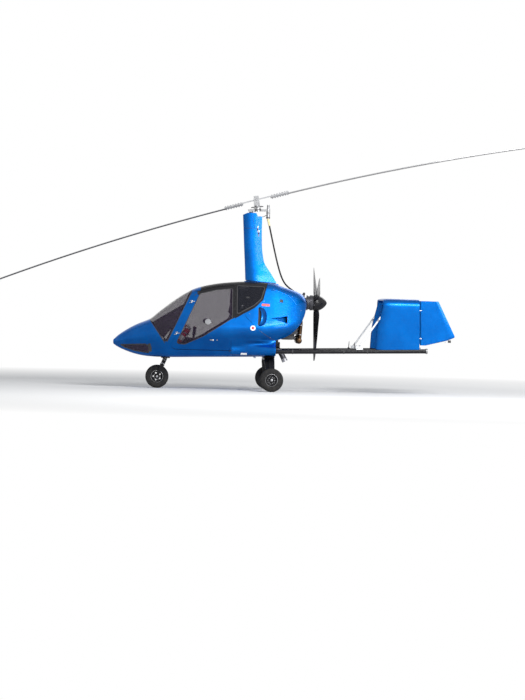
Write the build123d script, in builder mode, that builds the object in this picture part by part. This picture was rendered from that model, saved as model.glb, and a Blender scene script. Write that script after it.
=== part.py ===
from build123d import *
import math
import os

os.makedirs("parts", exist_ok=True)

# A two-seat enclosed gyroplane with side-by-side seats, a pusher propeller and twin tail booms.
# X runs aft, Y to starboard and Z up, in millimetres. The wheels stand on Z = 0.
# Lengths called aft are measured behind the main wheels' axle.

# Rotor
rotor_radius = 4250
hub_aft = -250
hub_height = 2817
bar_pitch = 15.5
spin_tilt = 7.0
bar_length = 980
bar_width = 64
bar_thickness = 20
blade_chord = 210
blade_thickness = 26
blade_root = 210
droop_start = 250
droop_tip = 6.4

# The blades droop along an arc that leaves the hub bar's line at droop_start
droop_radius = (rotor_radius - droop_start) / math.radians(droop_tip)
tip_drop = droop_radius * (1 - math.cos(math.radians(droop_tip)))

# The origin lies on the ground, midway between the two blade tips
axle_x = -(hub_aft + tip_drop * math.sin(math.radians(bar_pitch)))

# Body shell
wall = 22
glass = 6
door_gap = 5
door_relief = 9
fit = 0.3
running = 0.05
side_lean_low = 0.54
side_lean_high = 0.41
corner_cuts = 2

# Wheels
tyre_radius = 172
tyre_width = 104
rim_radius = 92
rim_width = 84
hub_radius = 32
hub_width = 110
track = 1750
tyre_cuts = 48
axle_radius = 12
nose_wheel_aft = -1658
nose_rake = 23.3

# Tail
boom_y = 630
boom_radius = 32
boom_foot = (60, 585)
boom_end = (2262, 645)
hinge_foot = (2192, 700)
hinge_top = (2176, 1357)
corner_height = 1290
corner_radius = 90
fin_thickness = 44
hinge_space = 24
rudder_nose = 17
hinge_pin_radius = 5

# Propeller
prop_radius = 865
prop_height = 1313
prop_aft = 662
prop_turn = -7
spinner_radius = 127
spinner_front_aft = 633
spinner_tip_aft = 830


def side_plane(y=0):
    # Local x runs aft from the main axle and local y up; the normal points to port
    return Plane(origin=(axle_x, y, 0), x_dir=(1, 0, 0), z_dir=(0, -1, 0))


def cross_plane(aft):
    # Local x runs to starboard and local y up; the normal points aft
    return Plane(origin=(axle_x + aft, 0, 0), x_dir=(0, 1, 0), z_dir=(1, 0, 0))


def level_plane(height):
    # Local x runs aft from the main axle and local y to starboard; the normal points up
    return Plane(origin=(axle_x, 0, height))


def place(aft, y, height):
    return Vector(axle_x + aft, y, height)


def rod(start, end, radius):
    # A round bar from one point to another
    with BuildPart() as bar:
        with BuildSketch(Plane(origin=start, z_dir=end - start)):
            Circle(radius)
        extrude(amount=(end - start).length)
    return bar.part


def side_prism(points, rounds=None, half_width=1000, grow=0):
    # A side-view outline carried straight across the body
    with BuildPart() as prism:
        with BuildSketch(side_plane()):
            with BuildLine():
                if rounds:
                    FilletPolyline(*points, radius=rounds, close=True)
                else:
                    Polyline(*points, close=True)
            make_face()
            if grow:
                offset(amount=grow, kind=Kind.INTERSECTION)
        extrude(amount=half_width, both=True)
    return prism.part


def save(part, name):
    part.label = name
    export_step(part, f"parts/{name}.step")


# Body sections, from the nose tip to the rear end of the engine cowl
# columns: aft, floor height, roof height, waist half width, waist height
stations = [
    (-2302, 630, 712, 44, 668),
    (-2250, 597, 762, 118, 684),
    (-2150, 552, 834, 208, 706),
    (-2000, 503, 922, 330, 733),
    (-1900, 482, 966, 400, 750),
    (-1790, 470, 1012, 462, 765),
    (-1650, 465, 1127, 525, 782),
    (-1485, 466, 1257, 580, 800),
    (-1300, 471, 1388, 626, 818),
    (-1120, 477, 1482, 656, 834),
    (-920, 483, 1540, 676, 850),
    (-650, 490, 1583, 688, 864),
    (-300, 500, 1606, 690, 884),
    (0, 510, 1586, 664, 910),
    (190, 515, 1528, 612, 940),
    (350, 520, 1478, 545, 975),
    (455, 523, 1428, 480, 1010),
    (515, 526, 1350, 420, 1040),
]


def round_corner(before, corner, after, radius):
    # A corner's arc, cut into equal short flats
    to_before = (before - corner).normalized()
    to_after = (after - corner).normalized()
    half = math.acos(to_before.dot(to_after)) / 2
    centre = corner + (to_before + to_after).normalized() * (radius / math.sin(half))
    first = corner + to_before * (radius / math.tan(half)) - centre
    last = corner + to_after * (radius / math.tan(half)) - centre
    arc = []
    for cut in range(corner_cuts + 1):
        share = cut / corner_cuts
        spoke = (first * (1 - share) + last * share).normalized() * radius
        arc.append(centre + spoke)
    return arc


def body_ring(station, inset):
    aft, floor_z, roof_z, waist_y, waist_z = station
    low = floor_z + inset
    high = roof_z - inset
    waist = waist_y - 1.1 * inset
    floor_y = waist - side_lean_low * (waist_z - low)
    roof_y = waist - side_lean_high * (high - waist_z)
    corners = [
        Vector(-floor_y, low),
        Vector(floor_y, low),
        Vector(waist, waist_z),
        Vector(roof_y, high),
        Vector(-roof_y, high),
        Vector(-waist, waist_z),
    ]
    size = min(waist, 440)
    floor_round = 0.25 * size
    waist_round = 0.50 * size
    roof_round = 0.38 * size
    rounds = [floor_round, floor_round, waist_round, roof_round, roof_round, waist_round]
    ring = []
    for index, corner in enumerate(corners):
        before = corners[index - 1]
        after = corners[(index + 1) % len(corners)]
        ring += round_corner(before, corner, after, rounds[index])
    return [place(aft, point.X, point.Y) for point in ring]


def facet_form(rings):
    # A solid of flat facets between rings of points; a twisted facet is split in two
    faces = [Face(Wire.make_polygon(rings[0])), Face(Wire.make_polygon(rings[-1]))]
    for front, rear in zip(rings, rings[1:]):
        for index in range(len(front)):
            following = (index + 1) % len(front)
            corners = [front[index], front[following], rear[following], rear[index]]
            normal = (corners[1] - corners[0]).cross(corners[2] - corners[0]).normalized()
            if abs(normal.dot(corners[3] - corners[0])) < 0.001:
                faces.append(Face(Wire.make_polygon(corners)))
            else:
                faces.append(Face(Wire.make_polygon(corners[:3])))
                faces.append(Face(Wire.make_polygon([corners[0], corners[2], corners[3]])))
    return Solid(Shell(faces))


def body_form(inset):
    # The whole body, with its skin moved inwards by inset.
    # The sides keep one lean from end to end, so each facet between two stations is flat.
    rows = [list(row) for row in stations]
    rows[0][0] += inset
    rows[-1][0] -= inset
    return facet_form([body_ring(row, inset) for row in rows])


outer_form = body_form(0)
glass_form = body_form(glass)
inner_form = body_form(wall)
skin = outer_form - inner_form
pane = outer_form - glass_form

# Side-view outlines on the body: aft, height
windshield_outline = [(-1850, 1101), (-1547, 652), (-1094, 1630), (-1850, 1630)]
windshield_rounds = [0, 62, 0, 0]
door_outline = [(-1498, 590), (-545, 590), (-545, 1535), (-830, 1506), (-1115, 1434)]
door_rounds = [80, 80, 30, 600, 40]
window_outline = [
    (-1400, 669),
    (-1270, 662),
    (-1004, 787),
    (-741, 957),
    (-583, 1060),
    (-583, 1494),
    (-830, 1466),
    (-1062, 1407),
]
window_rounds = [45, 20, 200, 200, 25, 25, 300, 30]
quarter_outline = [(-515, 1120), (-260, 1262), (-165, 1352), (-105, 1530), (-515, 1540)]
quarter_rounds = [20, 60, 60, 25, 25]
glasshouse_outline = [
    (-1075, 1395),
    (-985, 1700),
    (-40, 1700),
    (-75, 1566),
    (-135, 1340),
    (-250, 1228),
    (-388, 1149),
    (-560, 1045),
    (-560, 1395),
]
chin_outline = [(-2222, 628), (-1845, 650), (-1795, 615), (-1790, 512), (-2000, 540), (-2150, 590)]
cowl_front = [(-40, 1700), (-75, 1566), (-135, 1340), (-250, 1228), (-388, 1149), (-388, 1085)]
cowl_crease = [(-187, 889), (15, 757), (60, 746)]
cowl_sweep = [(371, 925), (515, 1268)]

windshield_prism = side_prism(windshield_outline, windshield_rounds)
door_prism = side_prism(door_outline, door_rounds)
doorway_outline = [
    (aft, height - door_relief if height < 1000 else height + door_relief) for aft, height in door_outline
]
doorway_prism = side_prism(doorway_outline, door_rounds, grow=door_gap)
window_prism = side_prism(window_outline, window_rounds)
quarter_prism = side_prism(quarter_outline, quarter_rounds)
glasshouse_prism = side_prism(glasshouse_outline)
chin_prism = side_prism(chin_outline)

with BuildPart() as cowl_space:
    with BuildSketch(side_plane()):
        with BuildLine():
            Polyline(*cowl_front, *cowl_crease)
            ThreePointArc(cowl_crease[-1], *cowl_sweep)
            Polyline(cowl_sweep[-1], (700, 1268), (700, 1700), cowl_front[0])
        make_face()
    extrude(amount=1000, both=True)
cowl_prism = cowl_space.part

with BuildPart() as roof_hatch:
    with BuildSketch(level_plane(1300)):
        with Locations((-745, 0)):
            RectangleRounded(500, 500, 40)
    extrude(amount=400)

far = 3 * rotor_radius
body_behind = Box(far, far, far, align=(Align.MIN, Align.CENTER, Align.CENTER))
body_behind = Pos(axle_x + 60, 0, 0) * body_behind

# Mast line
mast_foot = place(-270, 0, 560)
mast_head = place(-325, 0, hub_height - 177)
mast_radius = 30
mast_hole = rod(mast_foot, mast_head, mast_radius + fit)

# Hull
boom_dir = Vector(boom_end[0] - boom_foot[0], 0, boom_end[1] - boom_foot[1]).normalized()
root_front = (-480, 515, 600)
root_front_radius = 46
root_radius = 62
hull = skin - windshield_prism - doorway_prism - glasshouse_prism - cowl_prism - body_behind - chin_prism
for side in (-1, 1):
    root_start = place(root_front[0], side * root_front[1], root_front[2])
    root_end = place(boom_foot[0], side * boom_y, boom_foot[1])
    root_plane = Plane(origin=root_start, z_dir=root_end - root_start)
    root_length = (root_end - root_start).length + 20
    base_align = (Align.CENTER, Align.CENTER, Align.MIN)
    root = root_plane * Cone(root_front_radius, root_radius, root_length, align=base_align)
    hull = hull + (root - inner_form - body_behind)

# Door hinges: ears with a pin on the windshield posts, a knuckle on the door
hinge_spots = [(-1393.6, 820), (-1180, 1290)]
hinge_stand = 13
knuckle_length = 22
hinge_pin = 4


def skin_reach(aft, height):
    # Half width of the body at one point of its side view
    probe = outer_form & rod(place(aft, 0, height), place(aft, 1500, height), 1)
    return probe.bounding_box().max.Y


hinge_points = [place(aft, skin_reach(aft, height) + hinge_stand, height) for aft, height in hinge_spots]
hinge_line = (hinge_points[1] - hinge_points[0]).normalized()
print("door hinge axis", hinge_points)


def hinge_form(start, end, bearing):
    # Both hinges' leaves on the starboard side; bearing is +1 on the door and -1 on the post
    leaves = Part()
    for point in hinge_points:
        plane = Plane(origin=point, x_dir=Vector(0, 1, 0).cross(hinge_line), z_dir=hinge_line)
        knuckle = Box(12, 12, end - start, align=(Align.CENTER, Align.CENTER, Align.MIN))
        leaf = Box(24, 18, end - start, align=(Align.CENTER, Align.MAX, Align.MIN))
        leaves = leaves + plane.location * Pos(0, 0, start) * knuckle
        leaves = leaves + plane.location * Pos(bearing * 16, 0, start) * leaf
    return leaves


half_knuckle = knuckle_length / 2
ears = hinge_form(-half_knuckle - 12, -half_knuckle - 0.5, -1)
for point in hinge_points:
    ears = ears + rod(point - hinge_line * (half_knuckle + 6), point + hinge_line * half_knuckle, hinge_pin)
hull = hull + ears + mirror(ears, about=Plane.XZ)
save(hull, "hull")
knuckles = hinge_form(-half_knuckle, half_knuckle, 1)
for point in hinge_points:
    knuckles = knuckles - rod(point - hinge_line * 20, point + hinge_line * 20, hinge_pin + running)
door_hinges = {1: knuckles, -1: mirror(knuckles, about=Plane.XZ)}

# Glass, flush with the skin in its openings
save(pane & windshield_prism, "windshield")
side_windows = (pane & quarter_prism) + (pane & chin_prism)
save(side_windows + ((pane & roof_hatch.part) - windshield_prism), "small_windows")

# Black glasshouse frame with the roof and the posts behind the doors
roof_frame = (skin & glasshouse_prism) - doorway_prism - quarter_prism - roof_hatch.part - mast_hole
save(roof_frame, "roof_frame")

# Doors, hinged along the windshield posts
side_half = {}
for side in (-1, 1):
    side_half[side] = Pos(0, side * far / 2, 0) * Box(far, far, far)
side_names = {-1: "left", 1: "right"}
grip_outline = [(-918, 744), (-812, 744), (-812, 726), (-918, 726)]
grip_reach = 700
grip_core = Box(far, 2 * 620, far)
for side, name in side_names.items():
    panel = ((skin & door_prism) - window_prism) & side_half[side]
    grip = (side_prism(grip_outline, half_width=grip_reach) & side_half[side]) - outer_form - grip_core
    save(panel + grip + door_hinges[side], f"door_{name}")
    save((pane & window_prism) & side_half[side], f"door_window_{name}")

# Engine cowl with its flank scoops, cut away below at the rear
hub_hole_radius = 84
prop_axis_start = place(400, 0, prop_height)
prop_axis_end = place(600, 0, prop_height)
scoop_outline = [(-234, 1010), (-205, 952), (-120, 960), (-77, 1040), (-84, 1140), (-150, 1232), (-205, 1180)]
scoop_reach = 680
scoop_mouth = [(-300, 985), (-160, 985), (-160, 1185), (-300, 1185)]
naca_outline = [(-21, 1074), (223, 1110), (226, 999)]
cowl = (skin & cowl_prism) - mast_hole - rod(prop_axis_start, prop_axis_end, hub_hole_radius)
cowl = cowl - side_prism(naca_outline)
cowl = cowl - rod(place(250, 0, 1530), place(372, 0, 1455), 12 + fit)
for side in (-1, 1):
    with BuildPart() as scoop:
        with BuildSketch(side_plane(side * 480)):
            with BuildLine():
                Polyline(*scoop_outline, close=True)
            make_face()
        extrude(amount=-side * (scoop_reach - 480), taper=12)
    with BuildPart() as mouth:
        with BuildSketch(side_plane(side * 480)):
            with BuildLine():
                Polyline(*scoop_mouth, close=True)
            make_face()
        extrude(amount=-side * (scoop_reach - 500))
    cowl = cowl + ((scoop.part - outer_form) - mouth.part)
save(cowl, "engine_cowl")

# Rear bulkhead that closes the lower body, with the fittings beside the engine
bulkhead_depth = 12
bulkhead_aft = 60
bulkhead_outline = [
    (bulkhead_aft - bulkhead_depth, 480),
    (bulkhead_aft, 480),
    (bulkhead_aft, 740),
    (bulkhead_aft - bulkhead_depth, 744),
]
bulkhead = side_prism(bulkhead_outline) & inner_form
oil_cooler = Pos(axle_x + 105, 95, 655) * Box(90.5, 150, 130)
save(bulkhead + oil_cooler, "rear_bulkhead")

# Cabin tub: one bent sheet that makes the seat risers, the seat pans and the wall behind the seats
tub_sheet = 14
pan_front = (-1070, 668)
pan_rear = (-640, 612)
with BuildPart() as tub:
    with BuildSketch(side_plane()):
        with BuildLine():
            FilletPolyline((-1085, 470), pan_front, pan_rear, (-575, 860), (-478, 1640), radius=[25, 60, 200])
        trace(line_width=tub_sheet)
    extrude(amount=800, both=True)
save((tub.part & inner_form) - mast_hole, "cabin_tub")

# Seats: a cushion and a back, made as one padded form on each side
seat_width = 420
seat_y = 272
pan_slope = (pan_rear[1] - pan_front[1]) / (pan_rear[0] - pan_front[0])
seat_lift = (tub_sheet / 2 + fit) * math.hypot(1, pan_slope)
seat_outline = [
    (pan_front[0] + 4, pan_front[1] + 4 * pan_slope + seat_lift),
    (-1080, 770),
    (-690, 725),
    (-570, 1290),
    (-534, 1290),
    (-592, 850),
    (pan_rear[0] - 14, pan_rear[1] - 14 * pan_slope + seat_lift),
]
seat_rounds = [20, 35, 60, 20, 12, 150, 70]
seats = []
for side in (-1, 1):
    with BuildPart() as seat:
        with BuildSketch(side_plane(side * seat_y)):
            with BuildLine():
                FilletPolyline(*seat_outline, radius=seat_rounds, close=True)
            make_face()
        extrude(amount=seat_width / 2, both=True)
    seats.append(seat.part)
save(Part() + seats, "seats")

# Dashboard under the windshield, and the console between the seats
dash_outline = [(-1735, 940), (-1385, 1172), (-1352, 1165), (-1408, 985), (-1500, 890), (-1700, 860)]
dash = side_prism(dash_outline) & inner_form
save(dash, "dashboard")
console_outline = [(-1470, 480), (-1470, 910), (-1395, 960), (-1270, 770), (-1094, 740), (-1094, 480)]
console = side_prism(console_outline, half_width=85) & inner_form
save(console, "console")

# Fire bottle strapped to the console
bottle_radius = 44
bottle_foot = place(-1385, -85 - bottle_radius - fit, 655)
bottle_top = place(-1215, -85 - bottle_radius - fit, 880)
save(rod(bottle_foot, bottle_top, bottle_radius), "fire_bottle")

# Sticks and pedals
stick_radius = 11
control_parts = []
for side in (-1, 1):
    stick_foot = place(-1150, side * seat_y, 500)
    stick_knee = place(-1150, side * seat_y, 640)
    stick_top = place(-1120, side * seat_y, 900)
    stick = rod(stick_foot, stick_top, stick_radius)
    grip_start = place(-1127, side * seat_y, 800)
    control_parts.append(stick + rod(grip_start, place(-1115, side * seat_y, 912), 18))
    pedal_bar = Pos(axle_x - 1560, side * 285, 560) * Box(16, 290, 16)
    for pedal_y in (200, 370):
        arm = Pos(axle_x - 1560, side * pedal_y, 620) * Box(12, 12, 136)
        plate = Pos(axle_x - 1560, side * pedal_y, 690) * Box(14, 80, 90)
        pedal_bar = pedal_bar + arm + plate
    foot = Pos(axle_x - 1560, side * 285, 520) * Box(40, 60, 90)
    control_parts.append(pedal_bar + foot)
controls = Part() + control_parts
save(controls & inner_form, "controls")

# Mast, its foot plate on the floor and the fairing around it
mast = rod(mast_foot, mast_head, mast_radius)
mast_plate = Pos(axle_x - 268, 0, 535) * Box(160, 160, 60)
save(mast + (mast_plate & inner_form), "mast")
fairing_foot = 1560
fairing_top = hub_height - 422
cap_reach = hub_height - 177
# columns: share of the way up, front edge, rear edge, thickness
fairing_rows = [
    (0, -387, 92, 156),
    (0.168, -394, 0, 118),
    (0.407, -405, -120, 96),
    (0.707, -420, -152, 92),
    (1, -433, -158, 90),
]
cap_rows = [(fairing_top, -433, -158, 90), (cap_reach, -447, -157, 88)]


def fairing_ring(row):
    height, front, rear, thickness = row
    half = thickness / 2
    widest = front + 0.3 * (rear - front)
    outline = [
        (front, -0.3 * half),
        (front, 0.3 * half),
        (front + 0.1 * (rear - front), 0.75 * half),
        (widest, half),
        (rear, 0.15 * half),
        (rear, -0.15 * half),
        (widest, -half),
        (front + 0.1 * (rear - front), -0.75 * half),
    ]
    return [place(aft, y, height) for aft, y in outline]


roof_clear = side_prism([(-600, 1400), (-600, 1628), (-387, 1628), (150, 1588), (150, 1400)])
fairing_span = fairing_top - fairing_foot
fairing = facet_form([fairing_ring((fairing_foot + row[0] * fairing_span, *row[1:])) for row in fairing_rows])
fairing = fairing - roof_clear - mast_hole
# columns: aft, drop below the hub
cap_crown = [(-500, 100), (-500, 227), (-446, 227), (-375, 195), (-245, 195), (-225, 247), (-100, 247), (-100, 100)]
cap_top = side_prism([(aft, hub_height - drop) for aft, drop in cap_crown])
cap = facet_form([fairing_ring(row) for row in cap_rows])
save(cap - cap_top - mast_hole, "mast_cap")
flange_top = side_prism([(-600, 1800), (-600, 1615), (-387, 1615), (150, 1575), (150, 1800)])
flange = facet_form([fairing_ring((height, -402, 108, 190)) for height in (1530, 1640)]) - flange_top - outer_form - mast_hole
save(Part() + [fairing, flange], "mast_fairing")

# Rotor head: the part that stays with the mast
spin_plane = Plane(origin=place(hub_aft, 0, hub_height), x_dir=(1, 0, 0), z_dir=(0, 0, 1))
spin_plane = spin_plane.rotated((0, -spin_tilt, 0))
spin_axis = spin_plane.z_dir


def on_spin(along, radius, length):
    # A round form on the rotor's spin axis, from a distance below or above the hub bar
    start = spin_plane.origin + spin_axis * along
    return rod(start, start + spin_axis * length, radius)


shaft_radius = 16
head_bottom = -172
head_top = -122
ring_bottom = -114
ring_top = -102
head = on_spin(head_bottom, 52, head_top - head_bottom)
cradle_drops = [(-372, 175), (-372, 145), (-190, 127), (-190, 157)]
cradle = side_prism([(aft, hub_height - drop) for aft, drop in cradle_drops], half_width=34)
head = head + (cradle - mast_hole)

# Flexible drive shaft from the engine up to the pre-rotator
flex_points = [(-68, hub_height - 298), (25, 2110), (102, 1810), (168, 1630), (250, 1530), (372, 1455)]
flex_route = [place(aft, 0, height) for aft, height in flex_points]
flex_radii = []
for before, corner, after in zip(flex_route, flex_route[1:], flex_route[2:]):
    turn = math.radians((corner - before).get_angle(after - corner))
    shorter = min((corner - before).length, (after - corner).length)
    flex_radii.append(0.45 * shorter / math.tan(turn / 2))
print("flexible shaft arc radii", [round(radius) for radius in flex_radii])
flex_radius = 12
with BuildPart() as flex:
    with BuildLine():
        flex_line = FilletPolyline(*flex_route, radius=flex_radii)
    with BuildSketch(Plane(origin=flex_line @ 0, z_dir=flex_line % 0)):
        Circle(flex_radius)
    sweep()
save(flex.part, "drive_shaft")
flex_up = (flex_route[0] - flex_route[1]).normalized()
flex_in = (flex_route[-1] - flex_route[-2]).normalized()

# Rotor head and the pre-rotator motor on its bracket
motor_aft = -72
motor_foot = place(motor_aft, 0, hub_height - 277)
motor_neck = place(motor_aft, 0, hub_height - 145)
motor_top = place(motor_aft, 0, hub_height - 72)
motor = rod(motor_foot, motor_neck, 28) + rod(motor_neck, motor_top, 20)
motor = motor + rod(flex_route[0], flex_route[0] + flex_up * 50, 16)
bracket = Pos(axle_x - 125, 0, hub_height - 155) * Box(110, 44, 34)
head = (head + motor + bracket) - on_spin(head_bottom - 10, shaft_radius + running, 120)
save(head, "rotor_head")

# Rotor: the tower that spins, and the hub bar with its blades that teeters in it
ring_gear = on_spin(ring_bottom, 88, ring_top - ring_bottom)
tower = on_spin(-165, shaft_radius, 165 - 102) + on_spin(ring_top, 40, 20)
cheek_space = bar_width / 2 + 5
cheek_outline = [(-44, -84), (44, -84), (34, 58), (-34, 58)]
with BuildPart() as cheeks:
    with BuildSketch(Plane(origin=spin_plane.origin, x_dir=spin_plane.x_dir, z_dir=(0, -1, 0))):
        with BuildLine():
            Polyline(*cheek_outline, close=True)
        make_face()
    extrude(amount=cheek_space + 10, both=True)
with BuildPart() as cheek_gap:
    with BuildSketch(Plane(origin=spin_plane.origin, x_dir=spin_plane.x_dir, z_dir=(0, -1, 0))):
        with Locations((0, 10)):
            Rectangle(120, 160)
    extrude(amount=cheek_space, both=True)
bolt_radius = 10
hub_centre = spin_plane.origin
bolt = rod(hub_centre - Vector(0, 56, 0), hub_centre + Vector(0, 56, 0), bolt_radius)
tower = tower + (cheeks.part - cheek_gap.part) + bolt
save(tower + ring_gear, "rotor_tower")

bar_plane = Plane(origin=hub_centre, x_dir=(1, 0, 0), z_dir=(0, 0, 1)).rotated((0, -bar_pitch, 0))
block_height = 48
with BuildPart() as hub_bar:
    with BuildSketch(bar_plane.offset(-bar_thickness / 2)):
        Rectangle(bar_length, bar_width)
    extrude(amount=bar_thickness)
    with BuildSketch(bar_plane.offset(-block_height / 2)):
        Rectangle(64, bar_width)
    extrude(amount=block_height)
bolt_hole = rod(hub_centre - Vector(0, 60, 0), hub_centre + Vector(0, 60, 0), bolt_radius + running)
save(hub_bar.part - bolt_hole, "hub_bar")


def wing_ring(spot, lead, up, chord, thickness):
    # A blade section with its axis at 30 % of the chord; lead points to the leading edge
    outline = [
        (-0.7 * chord, -0.08 * thickness),
        (0.18 * chord, -0.5 * thickness),
        (0.3 * chord, -0.2 * thickness),
        (0.3 * chord, 0.12 * thickness),
        (0.22 * chord, 0.42 * thickness),
        (0.05 * chord, 0.5 * thickness),
        (-0.7 * chord, 0.06 * thickness),
    ]
    return [spot + lead * along + up * rise for along, rise in outline]


blade_drop = bar_thickness / 2 + blade_thickness / 2
blade_cuts = 4
for sign, name in ((-1, "front"), (1, "rear")):
    along = bar_plane.x_dir * sign
    up = bar_plane.z_dir
    lead = up.cross(along)
    root = hub_centre + along * blade_root - up * blade_drop
    rings = [wing_ring(root, lead, up, blade_chord, blade_thickness)]
    for cut in range(blade_cuts + 1):
        droop = math.radians(droop_tip) * cut / blade_cuts
        reach = droop_start + droop_radius * math.sin(droop)
        drop = blade_drop + droop_radius * (1 - math.cos(droop))
        spot = hub_centre + along * reach - up * drop
        lift = up * math.cos(droop) + along * math.sin(droop)
        rings.append(wing_ring(spot, lead, lift, blade_chord, blade_thickness))
    save(facet_form(rings), f"rotor_blade_{name}")

# Engine as one plain block on two bearers, with its gearbox
engine = Pos(axle_x + 140, 0, 1035) * Box(500, 540, 390)
engine = engine + Pos(axle_x + 250, 0, 800) * Box(150, 260, 80)
engine = engine + rod(place(380, 0, prop_height), place(518, 0, prop_height), 74)
gear_case = Box(80, 140, prop_height - 1140, align=(Align.CENTER, Align.CENTER, Align.MIN))
engine = engine + Pos(axle_x + 420, 0, 1140) * gear_case
prop_shaft_radius = 20
shaft_start = place(440, 0, prop_height)
engine = engine - rod(shaft_start, place(530, 0, prop_height), prop_shaft_radius + running)
for side in (-1, 1):
    engine = engine + Pos(axle_x + 200, side * 205, 805) * Box(300, 50, 72)
    engine = engine + Pos(axle_x + 87, side * 205, 735) * Box(54, 50, 72)
save(engine, "engine")

# Exhaust: two headers into a cross muffler, and the tail pipe low at the rear of the body
def pipe(points, radius):
    # A pipe of straight lengths with mitred joints
    with BuildPart() as bent:
        with BuildLine():
            route = Polyline(*points)
        with BuildSketch(Plane(origin=route @ 0, z_dir=route % 0)):
            Circle(radius)
        sweep(transition=Transition.RIGHT)
    return bent.part


exhaust = rod(place(418, -240, 750), place(418, 240, 750), 45)
header_points = [(390, 1070), (425, 1070), (447, 1040), (430, 750)]
for side in (-1, 1):
    exhaust = exhaust + pipe([place(aft, side * 150, height) for aft, height in header_points], 27)
tail_points = [(60, 618), (108, 618), (150, 585), (225, 440)]
tail_pipe = pipe([place(aft, -150, height) for aft, height in tail_points], 41)
save(Part() + [exhaust, tail_pipe], "exhaust")
# Propeller: hub drum, spinner and three blades
drum_radius = 112
drum = rod(place(527, 0, prop_height), place(spinner_front_aft, 0, prop_height), drum_radius)
drum = drum + rod(shaft_start + Vector(2, 0, 0), place(530, 0, prop_height), prop_shaft_radius)
save(drum, "prop_hub")
# columns: share of the length, share of the radius
spinner_rows = [(0, 1), (0.2, 0.97), (0.4, 0.88), (0.6, 0.73), (0.8, 0.5), (1, 0.06)]
spinner_cuts = 28
spinner_length = spinner_tip_aft - spinner_front_aft
spinner_rings = []
for along, out in spinner_rows:
    ring = []
    for cut in range(spinner_cuts):
        turn = 2 * math.pi * cut / spinner_cuts
        spoke = Vector(0, math.cos(turn), math.sin(turn)) * (out * spinner_radius)
        ring.append(place(spinner_front_aft + along * spinner_length, 0, prop_height) + spoke)
    spinner_rings.append(ring)
spinner = facet_form(spinner_rings)
save(Part() + [spinner], "spinner")
# columns: radius, chord, thickness, pitch angle
prop_rows = [
    (80, 80, 34, 52),
    (200, 134, 26, 38),
    (480, 140, 15, 24),
    (760, 106, 9, 16),
    (prop_radius, 58, 6, 14),
]
prop_hub_centre = place(prop_aft, 0, prop_height)
blades = []
for index in range(3):
    angle = math.radians(180 + prop_turn + 120 * index)
    outward = Vector(0, math.sin(angle), math.cos(angle))
    around = Vector(1, 0, 0).cross(outward)
    rings = []
    for radius, chord, thickness, pitch in prop_rows:
        tilt = math.radians(pitch)
        lead = around * math.cos(tilt) - Vector(1, 0, 0) * math.sin(tilt)
        spot = prop_hub_centre + outward * radius
        rings.append(wing_ring(spot, lead, outward.cross(lead), chord, thickness))
    blades.append(facet_form(rings) - spinner)
save(Part() + blades, "prop_blades")

# Tail booms with round end fittings
booms = []
for side in (-1, 1):
    boom_start = place(boom_foot[0], side * boom_y, boom_foot[1]) - boom_dir * 20
    boom_stop = place(boom_end[0], side * boom_y, boom_end[1])
    tube = rod(boom_start, boom_stop, boom_radius) & body_behind
    booms.append(tube + rod(boom_stop, boom_stop + boom_dir * 26, 38))
save(Part() + booms, "tail_booms")

# Fins: each stands on its boom and turns inwards at the top
hinge_slope = (hinge_top[0] - hinge_foot[0]) / (hinge_top[1] - hinge_foot[1])
# columns: height, leading edge
fin_rows = [(640, 1527), (945, 1546), (corner_height, 1622)]


def hinge_aft(height):
    return hinge_foot[0] + (height - hinge_foot[1]) * hinge_slope


def fin_points(height, leading):
    trailing = hinge_aft(height) - hinge_space
    chord = trailing - leading
    half = fin_thickness / 2
    return [
        (leading, -0.28 * half),
        (leading, 0.28 * half),
        (leading + 0.06 * chord, 0.72 * half),
        (leading + 0.25 * chord, half),
        (trailing, 0.85 * half),
        (trailing, -0.85 * half),
        (leading + 0.25 * chord, -half),
        (leading + 0.06 * chord, -0.72 * half),
    ]


rudder_outline = [(2100, 690), (2570, 808), (2692, 858), (2434, 1380), (2100, 1380)]
rudder_rounds = [0, 60, 25, 25, 0]
lug_heights = [830, 1240]
corner_steps = 3


def tail_ring(side, height, leading, turn=0):
    # A fin section whose outer face stays outside while the section turns in towards the stabiliser
    ring = []
    for aft, out in fin_points(height, leading):
        reach = (corner_radius + out) * math.cos(turn) - corner_radius
        rise = (corner_radius + out) * math.sin(turn)
        ring.append(place(aft, side * (boom_y + reach), height + rise))
    return ring


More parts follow.
